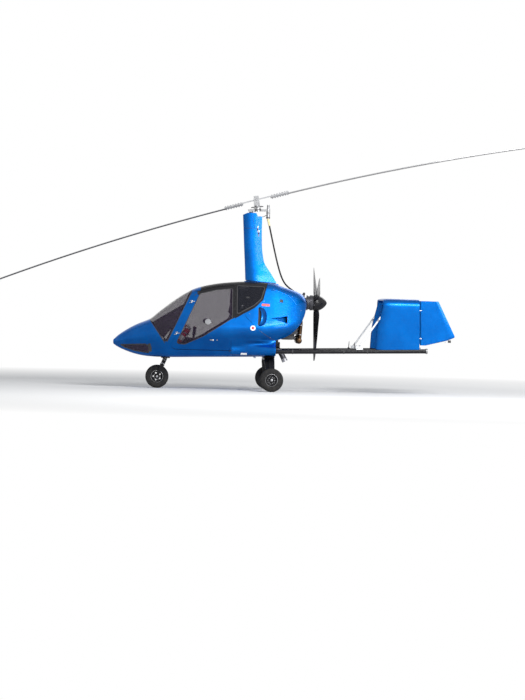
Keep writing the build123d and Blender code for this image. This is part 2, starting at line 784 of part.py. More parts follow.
tail_sides = []
for side in (-1, 1):
    rings = [tail_ring(side, *row) for row in fin_rows]
    for step in range(1, corner_steps + 1):
        rings.append(tail_ring(side, *fin_rows[-1], turn=math.pi / 2 * step / corner_steps))
    tail_sides.append(rings)
tail_unit = facet_form(tail_sides[0] + tail_sides[1][::-1])
fins = []
for side, name in side_names.items():
    boom_start = place(1200, side * boom_y, boom_foot[1] + 1140 * boom_dir.Z / boom_dir.X)
    tail_unit = tail_unit - rod(boom_start, boom_start + boom_dir * 1200, boom_radius + fit)
    hinge_low = place(hinge_foot[0], side * boom_y, hinge_foot[1])
    hinge_high = place(hinge_top[0], side * boom_y, hinge_top[1])
    hinge_dir = (hinge_high - hinge_low).normalized()
    with BuildPart() as rudder:
        with BuildSketch(Plane(origin=hinge_low - hinge_dir * 30, x_dir=(1, 0, 0), z_dir=hinge_dir)):
            with BuildLine():
                Line((0, rudder_nose), (560, 3))
                Line((560, 3), (560, -3))
                Line((560, -3), (0, -rudder_nose))
                ThreePointArc((0, -rudder_nose), (-rudder_nose, 0), (0, rudder_nose))
            make_face()
        extrude(amount=760)
    blade = rudder.part & side_prism(rudder_outline, rudder_rounds)
    for height in lug_heights:
        middle = hinge_low + hinge_dir * ((height - hinge_foot[1]) / hinge_dir.Z)
        slot = Plane(origin=middle, x_dir=(1, 0, 0), z_dir=hinge_dir).location * Box(56, 80, 26)
        bore = rod(middle - hinge_dir * 34, middle, hinge_pin_radius + running)
        blade = blade - slot - bore
        lug_middle = middle - Vector(12, 0, 0)
        lug = Plane(origin=lug_middle, x_dir=(1, 0, 0), z_dir=hinge_dir).location * Box(40, 16, 10)
        pin = rod(middle - hinge_dir * 30, middle, hinge_pin_radius)
        fins += [lug, pin]
    save(blade, f"rudder_{name}")

save(tail_unit + fins, "tail_fins")

# Struts from the booms up to the fins
struts = []
for side in (-1, 1):
    foot = place(1262, side * boom_y, 655)
    head_point = place(1590, side * boom_y, 1130)
    strut = rod(foot, head_point, 13)
    shoe = Pos(axle_x + 1290, side * boom_y, 655) * Box(95, 36, 76)
    fin_front = side_prism([(1527, 640), (1546, 945), (1622, 1290), (1900, 1290), (1900, 640)])
    boom_start = place(1200, side * boom_y, boom_foot[1] + 1140 * boom_dir.Z / boom_dir.X)
    boom_hole = rod(boom_start, boom_start + boom_dir * 600, boom_radius + fit)
    struts.append((strut + shoe) - fin_front - boom_hole)
save(Part() + struts, "tail_struts")

# Main gear: one sprung bow under the body, with stub axles and brake discs
bow_width = 150
bow_sheet = 30
bow_aft = -20
bow_height = 492
leg_y = 800
with BuildPart() as bow:
    with BuildSketch(cross_plane(bow_aft - bow_width / 2)):
        with BuildLine():
            FilletPolyline(
                (-leg_y, tyre_radius - 42),
                (-leg_y + 10, tyre_radius + 30),
                (-400, bow_height - bow_sheet / 2),
                (400, bow_height - bow_sheet / 2),
                (leg_y - 10, tyre_radius + 30),
                (leg_y, tyre_radius - 42),
                radius=[60, 160, 160, 60],
            )
        trace(line_width=bow_sheet)
    extrude(amount=bow_width)
gear = bow.part
saddle = Pos(axle_x + bow_aft, 0, bow_height + 22) * Box(170, 520, 46)
gear = gear + (saddle - outer_form)
taper_cut = side_prism([(-300, -20), (-300, 420), (bow_aft - bow_width / 2, 420), (-45, 120), (-45, -20)])
taper_cut = taper_cut + side_prism([(300, -20), (300, 420), (bow_aft + bow_width / 2, 420), (45, 120), (45, -20)])
gear = gear - taper_cut
wheel_y = track / 2
for side in (-1, 1):
    axle_start = place(0, side * (leg_y - 20), tyre_radius)
    gear = gear + rod(axle_start, place(0, side * (wheel_y + hub_width / 2 + 4), tyre_radius), axle_radius)
save(gear, "main_gear")


def tyre_form(centre):
    # A smooth tyre of flat facets, with one corner straight down on the ground
    half = tyre_width / 2
    rings = []
    shoulder = tyre_radius - 36
    for y, radius in [(-half, shoulder), (24 - half, tyre_radius), (half - 24, tyre_radius), (half, shoulder)]:
        ring = []
        for cut in range(tyre_cuts):
            turn = 2 * math.pi * cut / tyre_cuts
            ring.append(centre + Vector(radius * math.sin(turn), y, -radius * math.cos(turn)))
        rings.append(ring)
    return facet_form(rings) - rod(centre - Vector(0, half, 0), centre + Vector(0, half, 0), rim_radius)


def rim_form(centre, bore):
    # A wheel with a long hub and a dish on both sides
    half = rim_width / 2
    with BuildPart() as rim:
        with BuildSketch(Plane(origin=centre, x_dir=(0, 1, 0), z_dir=(1, 0, 0))):
            with BuildLine():
                Polyline(
                    (-hub_width / 2, bore),
                    (-hub_width / 2, hub_radius),
                    (-12, hub_radius),
                    (-12, rim_radius - 14),
                    (-half, rim_radius - 14),
                    (-half, rim_radius - fit),
                    (half, rim_radius - fit),
                    (half, rim_radius - 14),
                    (12, rim_radius - 14),
                    (12, hub_radius),
                    (hub_width / 2, hub_radius),
                    (hub_width / 2, bore),
                    close=True,
                )
            make_face()
        revolve(axis=Axis(centre, (0, 1, 0)))
    return rim.part


for side, name in side_names.items():
    centre = place(0, side * wheel_y, tyre_radius)
    save(tyre_form(centre), f"tyre_{name}")
    save(rim_form(centre, axle_radius + running), f"rim_{name}")

# Nose gear: a fixed steering head under the body and a fork that turns in it
nose_axle = place(nose_wheel_aft, 0, tyre_radius)
rake = math.radians(nose_rake)
steer_dir = Vector(math.sin(rake), 0, math.cos(rake))
head_start = 204
head_stop = 420
spindle_radius = 14
leg = rod(nose_axle + steer_dir * head_start, nose_axle + steer_dir * head_stop, 30) - outer_form
leg_flange = Pos(axle_x - 1538, 0, 462) * Box(130, 110, 30)
leg = leg + (leg_flange - outer_form)
leg = leg - rod(nose_axle + steer_dir * (head_start - 5), nose_axle + steer_dir * 290, spindle_radius + running)
save(leg, "nose_leg")
fork_y = tyre_width / 2 + 12
fork_plate = 12
crown = rod(nose_axle + steer_dir * 180, nose_axle + steer_dir * 199, 34)
crown = crown + rod(nose_axle + steer_dir * 190, nose_axle + steer_dir * 288, spindle_radius)
fork_plane = Plane(origin=nose_axle, x_dir=(math.cos(rake), 0, -math.sin(rake)), z_dir=(0, -1, 0))
with BuildPart() as fork:
    with BuildSketch(fork_plane):
        with BuildLine():
            Polyline((-16, -20), (16, -20), (30, 180), (30, 199), (-30, 199), (-30, 180), close=True)
        make_face()
    extrude(amount=fork_y + fork_plate, both=True)
with BuildPart() as fork_space:
    with BuildSketch(fork_plane):
        with Locations((0, 60)):
            Rectangle(200, 2 * 121)
    extrude(amount=fork_y, both=True)
fork_part = (fork.part - fork_space.part) + crown
fork_part = fork_part + rod(
    nose_axle - Vector(0, fork_y + 4, 0), nose_axle + Vector(0, fork_y + 4, 0), axle_radius
)
tow_bore_radius = 5
tow_bore = rod(nose_axle - Vector(0, 100, 0), nose_axle + Vector(0, 100, 0), tow_bore_radius)
save(fork_part - tow_bore, "nose_fork")
save(tyre_form(nose_axle), "tyre_nose")
save(rim_form(nose_axle, axle_radius + running), "rim_nose")

# Small fittings on the skin
cap_radius = 40
cap_start = place(-281, -640, 925)
fuel_cap = rod(cap_start, place(-281, -686, 925), cap_radius) - outer_form
antenna = (Pos(axle_x - 226, 0, 495) * Box(34, 12, 40)) - outer_form
save(Part() + [fuel_cap, antenna], "skin_fittings")
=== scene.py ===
import math

import bmesh
import bpy
import numpy as np
from mathutils import Matrix, Vector, bvhtree
from mathutils.interpolate import poly_3d_calc


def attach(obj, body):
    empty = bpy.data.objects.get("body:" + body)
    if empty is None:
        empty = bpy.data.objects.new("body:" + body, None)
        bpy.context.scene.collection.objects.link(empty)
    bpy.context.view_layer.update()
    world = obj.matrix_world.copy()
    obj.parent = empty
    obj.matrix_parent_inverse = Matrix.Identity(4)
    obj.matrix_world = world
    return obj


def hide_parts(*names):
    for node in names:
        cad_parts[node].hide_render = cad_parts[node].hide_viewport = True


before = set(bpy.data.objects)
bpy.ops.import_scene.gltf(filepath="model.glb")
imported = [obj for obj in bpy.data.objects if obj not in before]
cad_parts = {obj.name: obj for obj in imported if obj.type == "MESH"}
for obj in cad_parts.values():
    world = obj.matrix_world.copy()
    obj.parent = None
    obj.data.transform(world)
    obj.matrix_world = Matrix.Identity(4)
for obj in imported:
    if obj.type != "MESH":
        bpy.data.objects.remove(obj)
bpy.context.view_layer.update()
axleX = 0.1903604   # the main axle's place along the model
propHeight = 1.313
hubSpot = Vector((axleX - 0.25, 0, 2.817))
xAxis, yAxis, zAxis = Vector((1, 0, 0)), Vector((0, 1, 0)), Vector((0, 0, 1))
bothSides = ((-1, "left"), (1, "right"))


def at(aft, y, z):
    return Vector((axleX + aft, y, z))


# Camera: a long lens on the port side, a little ahead of the machine and below its cabin roof
view = {"distance": 57.0, "focalPixels": 3850, "yaw": 2.4, "pitch": 0.85, "roll": 1.44,
        "originPixel": (268.6, 390.5), "imageSize": (525, 700), "sensorWidth": 36, "reach": 400}


def makeCamera():
    yaw = math.radians(view["yaw"])
    pitch = math.radians(view["pitch"])
    roll = math.radians(view["roll"])
    ahead = Vector((math.sin(yaw) * math.cos(pitch), math.cos(yaw) * math.cos(pitch), -math.sin(pitch)))
    right = Vector((math.cos(yaw), -math.sin(yaw), 0))
    up = right.cross(ahead)
    tiltedRight = right * math.cos(roll) + up * math.sin(roll)
    tiltedUp = up * math.cos(roll) - right * math.sin(roll)
    width, height = view["imageSize"]
    offRight = (view["originPixel"][0] - width / 2) / view["focalPixels"]
    offUp = (height / 2 - view["originPixel"][1]) / view["focalPixels"]
    spot = at(0, 0, 0) - (ahead + tiltedRight * offRight + tiltedUp * offUp) * view["distance"]
    data = bpy.data.cameras.new("camera")
    data.lens = view["focalPixels"] / height * view["sensorWidth"]
    data.sensor_width = view["sensorWidth"]
    data.clip_end = view["reach"]
    camera = bpy.data.objects.new("camera", data)
    turn = Matrix((tiltedRight, tiltedUp, -ahead)).transposed()
    camera.matrix_world = Matrix.Translation(spot) @ turn.to_4x4()
    bpy.context.scene.collection.objects.link(camera)
    bpy.context.scene.camera = camera


makeCamera()
bpy.context.scene.view_settings.view_transform = "Standard"


# Materials
class Nodes:
    def __init__(self, name):
        self.material = bpy.data.materials.new(name)
        self.material.use_nodes = True
        self.tree = self.material.node_tree
        self.tree.nodes.clear()
        self.output = self.add("ShaderNodeOutputMaterial")
        self.coords = self.add("ShaderNodeTexCoord").outputs["Object"]

    def add(self, kind, **values):
        node = self.tree.nodes.new(kind)
        for key, value in values.items():
            setattr(node, key, value)
        return node

    def link(self, start, end):
        self.tree.links.new(start, end)

    def noise(self, scale, detail=4.0, rough=0.55, coords=None):
        node = self.add("ShaderNodeTexNoise")
        node.inputs["Scale"].default_value = scale
        node.inputs["Detail"].default_value = detail
        node.inputs["Roughness"].default_value = rough
        self.link(coords or self.coords, node.inputs["Vector"])
        return node.outputs["Fac"]

    def cells(self, scale, kind="F1", coords=None):
        node = self.add("ShaderNodeTexVoronoi", feature=kind)
        node.inputs["Scale"].default_value = scale
        self.link(coords or self.coords, node.inputs["Vector"])
        return node

    def remap(self, value, low, high, newLow, newHigh):
        node = self.add("ShaderNodeMapRange")
        for index, number in ((1, low), (2, high), (3, newLow), (4, newHigh)):
            node.inputs[index].default_value = number
        self.link(value, node.inputs[0])
        return node.outputs[0]

    def mix(self, share, first, second, blend="MIX"):
        node = self.add("ShaderNodeMix", data_type="RGBA", blend_type=blend)
        for socket, item in ((node.inputs[0], share), (node.inputs[6], first), (node.inputs[7], second)):
            if isinstance(item, (int, float)):
                socket.default_value = item
            elif isinstance(item, tuple):
                socket.default_value = (*item, 1)
            else:
                self.link(item, socket)
        return node.outputs[2]

    def math(self, operation, first, second):
        node = self.add("ShaderNodeMath", operation=operation)
        for socket, item in ((node.inputs[0], first), (node.inputs[1], second)):
            if isinstance(item, (int, float)):
                socket.default_value = item
            else:
                self.link(item, socket)
        return node.outputs[0]

    def bump(self, height, strength, distance=0.001):
        node = self.add("ShaderNodeBump")
        node.inputs["Strength"].default_value = strength
        node.inputs["Distance"].default_value = distance
        self.link(height, node.inputs["Height"])
        return node.outputs["Normal"]

    def surface(self, color, metallic=0.0, roughness=0.5, normal=None, coat=0.0, coatRoughness=0.03,
                specular=0.5, sheen=0.0, alpha=None, ior=1.5):
        shader = self.add("ShaderNodeBsdfPrincipled")
        for key, item in (("Base Color", color), ("Metallic", metallic), ("Roughness", roughness)):
            socket = shader.inputs[key]
            if isinstance(item, tuple):
                socket.default_value = (*item, 1)
            elif isinstance(item, (int, float)):
                socket.default_value = item
            else:
                self.link(item, socket)
        if normal is not None:
            self.link(normal, shader.inputs["Normal"])
        shader.inputs["Coat Weight"].default_value = coat
        shader.inputs["Coat Roughness"].default_value = coatRoughness
        shader.inputs["Specular IOR Level"].default_value = specular
        shader.inputs["Sheen Weight"].default_value = sheen
        shader.inputs["IOR"].default_value = ior
        if alpha is not None:
            shader.inputs["Alpha"].default_value = alpha
        self.link(shader.outputs[0], self.output.inputs["Surface"])
        return self.material


bluePaint = {"base": (0.0, 0.085, 0.35), "deep": (0.0, 0.055, 0.26), "metallic": 1.0, "roughness": 0.36,
             "flakeScale": 900}


def makeBlue(name, values):
    n = Nodes(name)
    flakes = n.cells(values["flakeScale"])
    split = n.add("ShaderNodeSeparateColor")
    n.link(flakes.outputs["Color"], split.inputs[0])
    broad = n.noise(3.5, 3)
    tint = n.mix(n.remap(broad, 0.35, 0.65, 0, 1), values["deep"], values["base"])
    tint = n.mix(n.remap(split.outputs[0], 0.0, 1.0, 0.0, 0.5), tint, (0.0, 0.15, 0.5))
    dust = n.remap(n.noise(14, 8, 0.7), 0.52, 0.78, 0, 0.05)
    tint = n.mix(dust, tint, (0.08, 0.14, 0.2))
    rough = n.remap(split.outputs[1], 0, 1, values["roughness"] - 0.05, values["roughness"] + 0.09)
    normal = n.bump(split.outputs[2], 0.18, 0.0006)
    return n.surface(tint, values["metallic"], rough, normal, coat=0.16, coatRoughness=0.12)


def makeGloss(name, color, roughness=0.25, speck=0.08, coat=0.6, metallic=0.0, grain=220.0):
    n = Nodes(name)
    pale = tuple(min(1.0, c * 1.35 + 0.012) for c in color)
    dust = n.remap(n.noise(9, 8, 0.68), 0.42, 0.8, 0, 0.5)
    tint = n.mix(dust, color, pale)
    rough = n.remap(n.noise(38, 6), 0.3, 0.7, roughness - 0.06, roughness + 0.1)
    normal = n.bump(n.noise(grain, 3), speck, 0.0008)
    return n.surface(tint, metallic, rough, normal, coat=coat, specular=0.15 if max(color) < 0.1 else 0.5)


def makeMoulded(name, color, roughness=0.6, grain=900.0, strength=0.35):
    n = Nodes(name)
    pale = tuple(min(1.0, c * 1.8 + 0.012) for c in color)
    tint = n.mix(n.remap(n.noise(7, 7, 0.7), 0.4, 0.75, 0, 0.7), color, pale)
    leather = n.cells(grain, "DISTANCE_TO_EDGE")
    rough = n.remap(n.noise(60, 5), 0.3, 0.7, roughness - 0.08, roughness + 0.1)
    normal = n.bump(leather.outputs["Distance"], strength, 0.0006)
    return n.surface(tint, 0.0, rough, normal)


def makeMetal(name, color, roughness=0.32, scratch=0.25, tarnish=None, stretch=(1, 1, 12)):
    n = Nodes(name)
    mapping = n.add("ShaderNodeMapping")
    mapping.inputs["Scale"].default_value = stretch
    n.link(n.coords, mapping.inputs["Vector"])
    streaks = n.noise(260, 5, 0.6, mapping.outputs[0])
    spots = n.remap(n.noise(22, 8, 0.72), 0.45, 0.75, 0, 0.75)
    dull = tarnish or tuple(c * 0.55 for c in color)
    tint = n.mix(spots, color, dull)
    rough = n.remap(streaks, 0.3, 0.7, roughness - 0.1, roughness + 0.14)
    return n.surface(tint, 1.0, rough, n.bump(streaks, scratch, 0.0005))


def makeRubber(name, color=(0.012, 0.012, 0.013)):
    n = Nodes(name)
    dust = n.remap(n.noise(24, 8, 0.72), 0.45, 0.72, 0, 0.8)
    tint = n.mix(dust, color, (0.045, 0.042, 0.037))
    rough = n.remap(n.noise(90, 6), 0.3, 0.7, 0.62, 0.86)
    return n.surface(tint, 0.0, rough, n.bump(n.noise(420, 6), 0.45, 0.0008), specular=0.25)


def makeCloth(name, color, weave=1500.0, pale=1.9):
    n = Nodes(name)
    waves = []
    for direction in ("X", "Z"):
        wave = n.add("ShaderNodeTexWave", wave_type="BANDS", bands_direction=direction)
        wave.inputs["Scale"].default_value = weave / 6.28
        wave.inputs["Distortion"].default_value = 1.2
        wave.inputs["Detail Scale"].default_value = 3
        n.link(n.coords, wave.inputs["Vector"])
        waves.append(wave.outputs["Fac"])
    threads = n.math("MULTIPLY", waves[0], waves[1])
    worn = n.remap(n.noise(8, 7, 0.7), 0.4, 0.72, 0, 0.6)
    tint = n.mix(threads, color, tuple(min(1.0, c * pale + 0.006) for c in color))
    tint = n.mix(worn, tint, tuple(min(1.0, c * 1.6 + 0.02) for c in color))
    return n.surface(tint, 0.0, 0.88, n.bump(threads, 0.6, 0.0012), sheen=0.35, specular=0.25)


def makeGlass(name, color, alpha):
    n = Nodes(name)
    film = n.remap(n.noise(6, 7, 0.7), 0.4, 0.75, 0, 1)
    tint = n.mix(film, color, tuple(c * 1.35 for c in color))
    rough = n.remap(n.noise(30, 6), 0.35, 0.7, 0.02, 0.08)
    return n.surface(tint, 0.0, rough, n.bump(n.noise(2.2, 2), 0.05, 0.004), specular=0.15, alpha=alpha)


def makePipe(name):
    # Heat colours along the bare exhaust: straw, brown and blue-grey
    n = Nodes(name)
    ramp = n.add("ShaderNodeValToRGB")
    stops = [(0.0, (0.02, 0.016, 0.014)), (0.35, (0.06, 0.034, 0.02)), (0.5, (0.1, 0.058, 0.03)),
             (0.62, (0.04, 0.028, 0.024)), (0.8, (0.22, 0.2, 0.18)), (1.0, (0.03, 0.03, 0.04))]
    while len(ramp.color_ramp.elements) < len(stops):
        ramp.color_ramp.elements.new(0.5)
    for element, (spot, color) in zip(ramp.color_ramp.elements, stops):
        element.position = spot
        element.color = (*color, 1)
    n.link(n.noise(5.5, 7, 0.62), ramp.inputs[0])
    rough = n.remap(n.noise(70, 6), 0.3, 0.7, 0.28, 0.55)
    return n.surface(ramp.outputs[0], 1.0, rough, n.bump(n.noise(180, 6), 0.3, 0.0008))


def makeCarbon(name):
    n = Nodes(name)
    checks = n.add("ShaderNodeTexChecker")
    checks.inputs["Scale"].default_value = 260
    checks.inputs["Color1"].default_value = (0.008, 0.008, 0.009, 1)
    checks.inputs["Color2"].default_value = (0.026, 0.026, 0.029, 1)
    n.link(n.coords, checks.inputs["Vector"])
    rough = n.remap(n.noise(40, 6), 0.3, 0.7, 0.16, 0.3)
    return n.surface(checks.outputs["Color"], 0.0, rough, n.bump(checks.outputs["Fac"], 0.12, 0.0004),
                     coat=0.1, specular=0.15)


look = {
    "blue": makeBlue("blue_paint", bluePaint),
    "blackGloss": makeGloss("black_gloss", (0.008, 0.008, 0.01), 0.24, coat=0.15),
    "carbon": makeCarbon("carbon_black"),
    "glass": makeGlass("tinted_glass", (0.028, 0.019, 0.037), 0.38),
    # Darker, denser glass for the quarter windows: painted shade of the dark cabin behind them
    "quarterGlassShaded": makeGlass("quarter_glass_painted_shade", (0.012, 0.013, 0.019), 0.66),
    # Glass for the chin windows, made dark and dense as painted shade of the footwell behind
    "chinGlassShaded": makeGlass("chin_glass_painted_shade", (0.035, 0.026, 0.05), 0.8),
    "white": makeGloss("white_paint", (0.78, 0.79, 0.8), 0.25),
    "plastic": makeMoulded("dark_plastic", (0.022, 0.022, 0.024)),
    "trim": makeMoulded("cabin_trim", (0.035, 0.035, 0.04), 0.7, 600),
    "engineDark": makeMoulded("engine_black", (0.045, 0.045, 0.05), 0.55, 500),
    "castSteel": makeMetal("cast_metal", (0.42, 0.42, 0.43), 0.42, 0.4),
    "pipe": makePipe("heated_pipe"),
    "steel": makeMetal("bright_steel", (0.42, 0.42, 0.44), 0.3),
    "alloy": makeMetal("head_alloy", (0.34, 0.345, 0.355), 0.36, 0.2),
    "darkSteel": makeMetal("dark_steel", (0.09, 0.09, 0.1), 0.4),
    "rubber": makeRubber("tyre_rubber"),
    "cloth": makeCloth("seat_cloth", (0.028, 0.028, 0.033)),
    "belt": makeCloth("belt_web", (0.045, 0.05, 0.06), 2600),
    "red": makeGloss("red_paint", (0.55, 0.012, 0.014), 0.2),
    "redLabel": makeGloss("red_label", (0.78, 0.09, 0.08), 0.4),
    "gearBlack": makeGloss("gear_black", (0.01, 0.01, 0.012), 0.4, 0.2, 0.05),
    "sheath": makeGloss("sheath_black", (0.014, 0.014, 0.015), 0.4, 0.2, 0.1, grain=500),
    "sleeve": makeGloss("cream_sleeve", (0.72, 0.6, 0.33), 0.45, 0.2, 0.1),
    "bladePale": makeGloss("blade_grey", (0.26, 0.265, 0.28), 0.4, 0.15, 0.2, 0.3),
    # A darker copy of the blade grey, used as painted shade on the blade undersides
    "bladeShadedUnderside": makeGloss("blade_painted_shade", (0.045, 0.045, 0.05), 0.4, 0.15, 0.2, 0.3),
    "screen": makeGloss("dial_face", (0.01, 0.011, 0.014), 0.12, 0.02, 1.0),
    "dialMark": makeGloss("dial_marks", (0.75, 0.76, 0.72), 0.5, 0.1, 0.0),
    "lens": makeGloss("lamp_lens", (0.75, 0.8, 0.84), 0.08, 0.05, 1.0),
}


# Mesh helpers
def addObject(name, mesh):
    obj = bpy.data.objects.new(name, mesh)
    bpy.context.scene.collection.objects.link(obj)
    return obj


def build(name, points, faces):
    mesh = bpy.data.meshes.new(name)
    mesh.from_pydata([tuple(p) for p in points], [], faces)
    work = bmesh.new()
    work.from_mesh(mesh)
    bmesh.ops.recalc_face_normals(work, faces=work.faces)
    work.to_mesh(mesh)
    work.free()
    mesh.update()
    return addObject(name, mesh)


def soften(obj, angle=32):
    mesh = obj.data
    mesh.shade_smooth()
    mesh.set_sharp_from_angle(angle=math.radians(angle))
    return obj


def loft(name, rings, closed=True, angle=32, ends=True):
    count = len(rings[0])
    points = [p for ring in rings for p in ring]
    faces = []
    for row in range(len(rings) - 1):
        for index in range(count if closed else count - 1):
            following = (index + 1) % count
            start = row * count
            faces.append((start + index, start + following, start + count + following, start + count + index))
    if ends and closed:
        faces.append(tuple(range(count)))
        faces.append(tuple((len(rings) - 1) * count + index for index in range(count)))
    return soften(build(name, points, faces), angle)


def lathe(name, profile, start, axis, count=48, angle=32, closed=False):
    # profile: distance along the axis, radius
    axis = Vector(axis).normalized()
    side = axis.orthogonal().normalized()
    other = axis.cross(side)
    rings = []
    for along, radius in profile:
        ring = []
        for index in range(count):
            turn = 2 * math.pi * index / count
            ring.append(Vector(start) + axis * along
                        + (side * math.cos(turn) + other * math.sin(turn)) * radius)
        rings.append(ring)
    if closed:
        rings.append(rings[0])
        obj = loft(name, rings, angle=angle, ends=False)
        weld(obj)
        return obj
    return loft(name, rings, angle=angle)


def weld(obj, distance=0.00001):
    work = bmesh.new()
    work.from_mesh(obj.data)
    bmesh.ops.remove_doubles(work, verts=work.verts, dist=distance)
    bmesh.ops.recalc_face_normals(work, faces=work.faces)
    work.to_mesh(obj.data)
    work.free()
    obj.data.update()


def bar(name, start, end, radius, count=24, cone=None):
    start, end = Vector(start), Vector(end)
    length = (end - start).length
    lip = min(radius * 0.12, length * 0.2)
    last = radius if cone is None else cone
    profile = [(0, radius - lip), (lip, radius), (length - lip, last), (length, max(last - lip, 0.0002))]
    return lathe(name, profile, start, end - start, count)


def boxPiece(name, low, high, bevel=0.003):
    work = bmesh.new()
    bmesh.ops.create_cube(work, size=1)
    low, high = Vector(low), Vector(high)
    for vertex in work.verts:
        vertex.co = Vector(((low[i] + high[i]) / 2 + vertex.co[i] * (high[i] - low[i])) for i in range(3))
    if bevel:
        bmesh.ops.bevel(work, geom=work.edges[:] + work.verts[:], offset=bevel, segments=2,
                        affect="EDGES", profile=0.5)
    mesh = bpy.data.meshes.new(name)
    work.to_mesh(mesh)
    work.free()
    return soften(addObject(name, mesh), 40)


def tube(name, points, radius, count=8):
    # A bent round tube along a smooth line through the route's corners
    curve = bpy.data.curves.new(name, "CURVE")
    curve.dimensions = "3D"
    spline = curve.splines.new("NURBS")
    spline.points.add(len(points) - 1)
    for index, point in enumerate(points):
        spline.points[index].co = (*point, 1)
    spline.order_u = 3
    spline.use_endpoint_u = True
    spline.resolution_u = 10
    curve.bevel_depth = radius
    curve.bevel_resolution = count
    curve.use_fill_caps = True
    return addObject(name, curve)


def evaluatedMesh(obj):
    bpy.context.view_layer.update()
    return bpy.data.meshes.new_from_object(obj.evaluated_get(bpy.context.evaluated_depsgraph_get()))


def hose(name, points, radius, count):
    # A tube turned into a mesh, so that it can be joined with other parts
    curve = tube(name, points, radius, count)
    mesh = evaluatedMesh(curve)
    bpy.data.objects.remove(curve)
    return soften(addObject(name, mesh), 40)


def bake(obj):
    mesh = evaluatedMesh(obj)
    obj.modifiers.clear()
    obj.data = mesh
    return obj


def carve(obj, tool, operation="DIFFERENCE"):
    modifier = obj.modifiers.new("carve", "BOOLEAN")
    modifier.operation = operation
    modifier.object = tool
    modifier.solver = "EXACT"
    return bake(obj)


def copyOf(obj, name):
    return addObject(name, obj.data.copy())


def drop(*objs):
    for obj in objs:
        bpy.data.objects.remove(obj)


def join(name, objs):
    work = bmesh.new()
    materials = []
    for obj in objs:
        remap = []
        for material in obj.data.materials:
            if material not in materials:
                materials.append(material)
            remap.append(materials.index(material))
        first = len(work.faces)
        work.from_mesh(obj.data)
        work.faces.ensure_lookup_table()
        for face in work.faces[first:]:
            face.material_index = remap[face.material_index] if face.material_index < len(remap) else 0
    mesh = bpy.data.meshes.new(name)
    work.to_mesh(mesh)
    work.free()
    for material in materials:
        mesh.materials.append(material)
    drop(*objs)
    return soften(addObject(name, mesh), 35)


def finishPiece(obj, body, material=None, replaced=()):
    # Gives a piece its finish and the body that it rides on, and hides the nodes that it replaces
    if material is not None:
        painted(obj, material)
    if obj.type == "MESH":
        obj.data.validate()
    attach(obj, body)
    if replaced:
        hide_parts(*replaced)
    return obj


def dress(node, material):
    # A solid of the frame that stays as it is, with a finish of its own
    painted(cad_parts[node], material)


def painted(obj, material):
    obj.data.materials.clear()
    obj.data.materials.append(look[material])
    return obj


class Group:
    # Small parts, each with its own finish, that are joined into one piece
    def __init__(self, *parts):
        self.parts = list(parts)

    def add(self, obj, material):
        self.parts.append(painted(obj, material))

    def finish(self, name, bodyName, replaced=()):
        finishPiece(join(name, self.parts), bodyName, None, replaced)


def spread(count, first, second, offset=0.0):
    # Directions at even steps round a circle that runs from the first vector to the second
    turns = [2 * math.pi * (index + offset) / count for index in range(count)]
    return [first * math.cos(turn) + second * math.sin(turn) for turn in turns]


def treeOf(obj):
    return bvhtree.BVHTree.FromPolygons([v.co for v in obj.data.vertices],
                                        [p.vertices for p in obj.data.polygons])


# Outlines
def roundOutline(points, rounds, steps=6):
    out = []
    count = len(points)
    for index, (point, radius) in enumerate(zip(points, rounds)):
        corner = Vector(point)
        before = (Vector(points[index - 1]) - corner)
        after = (Vector(points[(index + 1) % count]) - corner)
        if radius <= 0:
            out.append(corner)
            continue
        a, b = before.normalized(), after.normalized()
        half = math.acos(max(-1, min(1, a.dot(b)))) / 2
        reach = min(radius / math.tan(half), before.length * 0.49, after.length * 0.49)
        first, last = corner + a * reach, corner + b * reach
        for step in range(steps + 1):
            share = step / steps
            out.append(first * (1 - share) ** 2 + corner * 2 * share * (1 - share) + last * share ** 2)
    return out


def arcThrough(start, middle, end, steps):
    # Points on the circle through three points
    ax, ay = start
    bx, by = middle
    cx, cy = end
    d = 2 * (ax * (by - cy) + bx * (cy - ay) + cx * (ay - by))
    ux = ((ax * ax + ay * ay) * (by - cy) + (bx * bx + by * by) * (cy - ay)
          + (cx * cx + cy * cy) * (ay - by)) / d
    uy = ((ax * ax + ay * ay) * (cx - bx) + (bx * bx + by * by) * (ax - cx)
          + (cx * cx + cy * cy) * (bx - ax)) / d
    radius = math.hypot(ax - ux, ay - uy)
    first = math.atan2(ay - uy, ax - ux)
    last = math.atan2(cy - uy, cx - ux)
    if last < first:
        last += 2 * math.pi
    return [(ux + radius * math.cos(first + (last - first) * i / steps),
             uy + radius * math.sin(first + (last - first) * i / steps)) for i in range(steps + 1)]


def grow(points, amount):
    # The outline moved outwards by amount, or inwards if it is negative
    pts = [Vector(p) for p in points]
    area = sum(a.x * b.y - b.x * a.y for a, b in zip(pts, pts[1:] + pts[:1]))
    sign = 1 if area > 0 else -1
    out = []
    for index, point in enumerate(pts):
        a = (point - pts[index - 1])
        b = (pts[(index + 1) % len(pts)] - point)
        if a.length < 1e-7 or b.length < 1e-7:
            continue
        a, b = a.normalized(), b.normalized()
        first, second = Vector((a.y, -a.x)) * sign, Vector((b.y, -b.x)) * sign
        middle = first + second
        if middle.length < 1e-6:
            continue
        middle.normalize()
        out.append(point + middle * (amount / max(0.35, middle.dot(first))))
    return out


def prism(name, outline, low=-1.0, high=1.0, place=lambda p, level: at(p[0], level, p[1])):
    # A side-view outline carried across the body
    count = len(outline)
    points = [place(p, level) for level in (low, high) for p in outline]
    faces = [tuple(range(count)), tuple(range(count, 2 * count))]
    for index in range(count):
        following = (index + 1) % count
        faces.append((index, following, count + following, count + index))
    return build(name, points, faces)


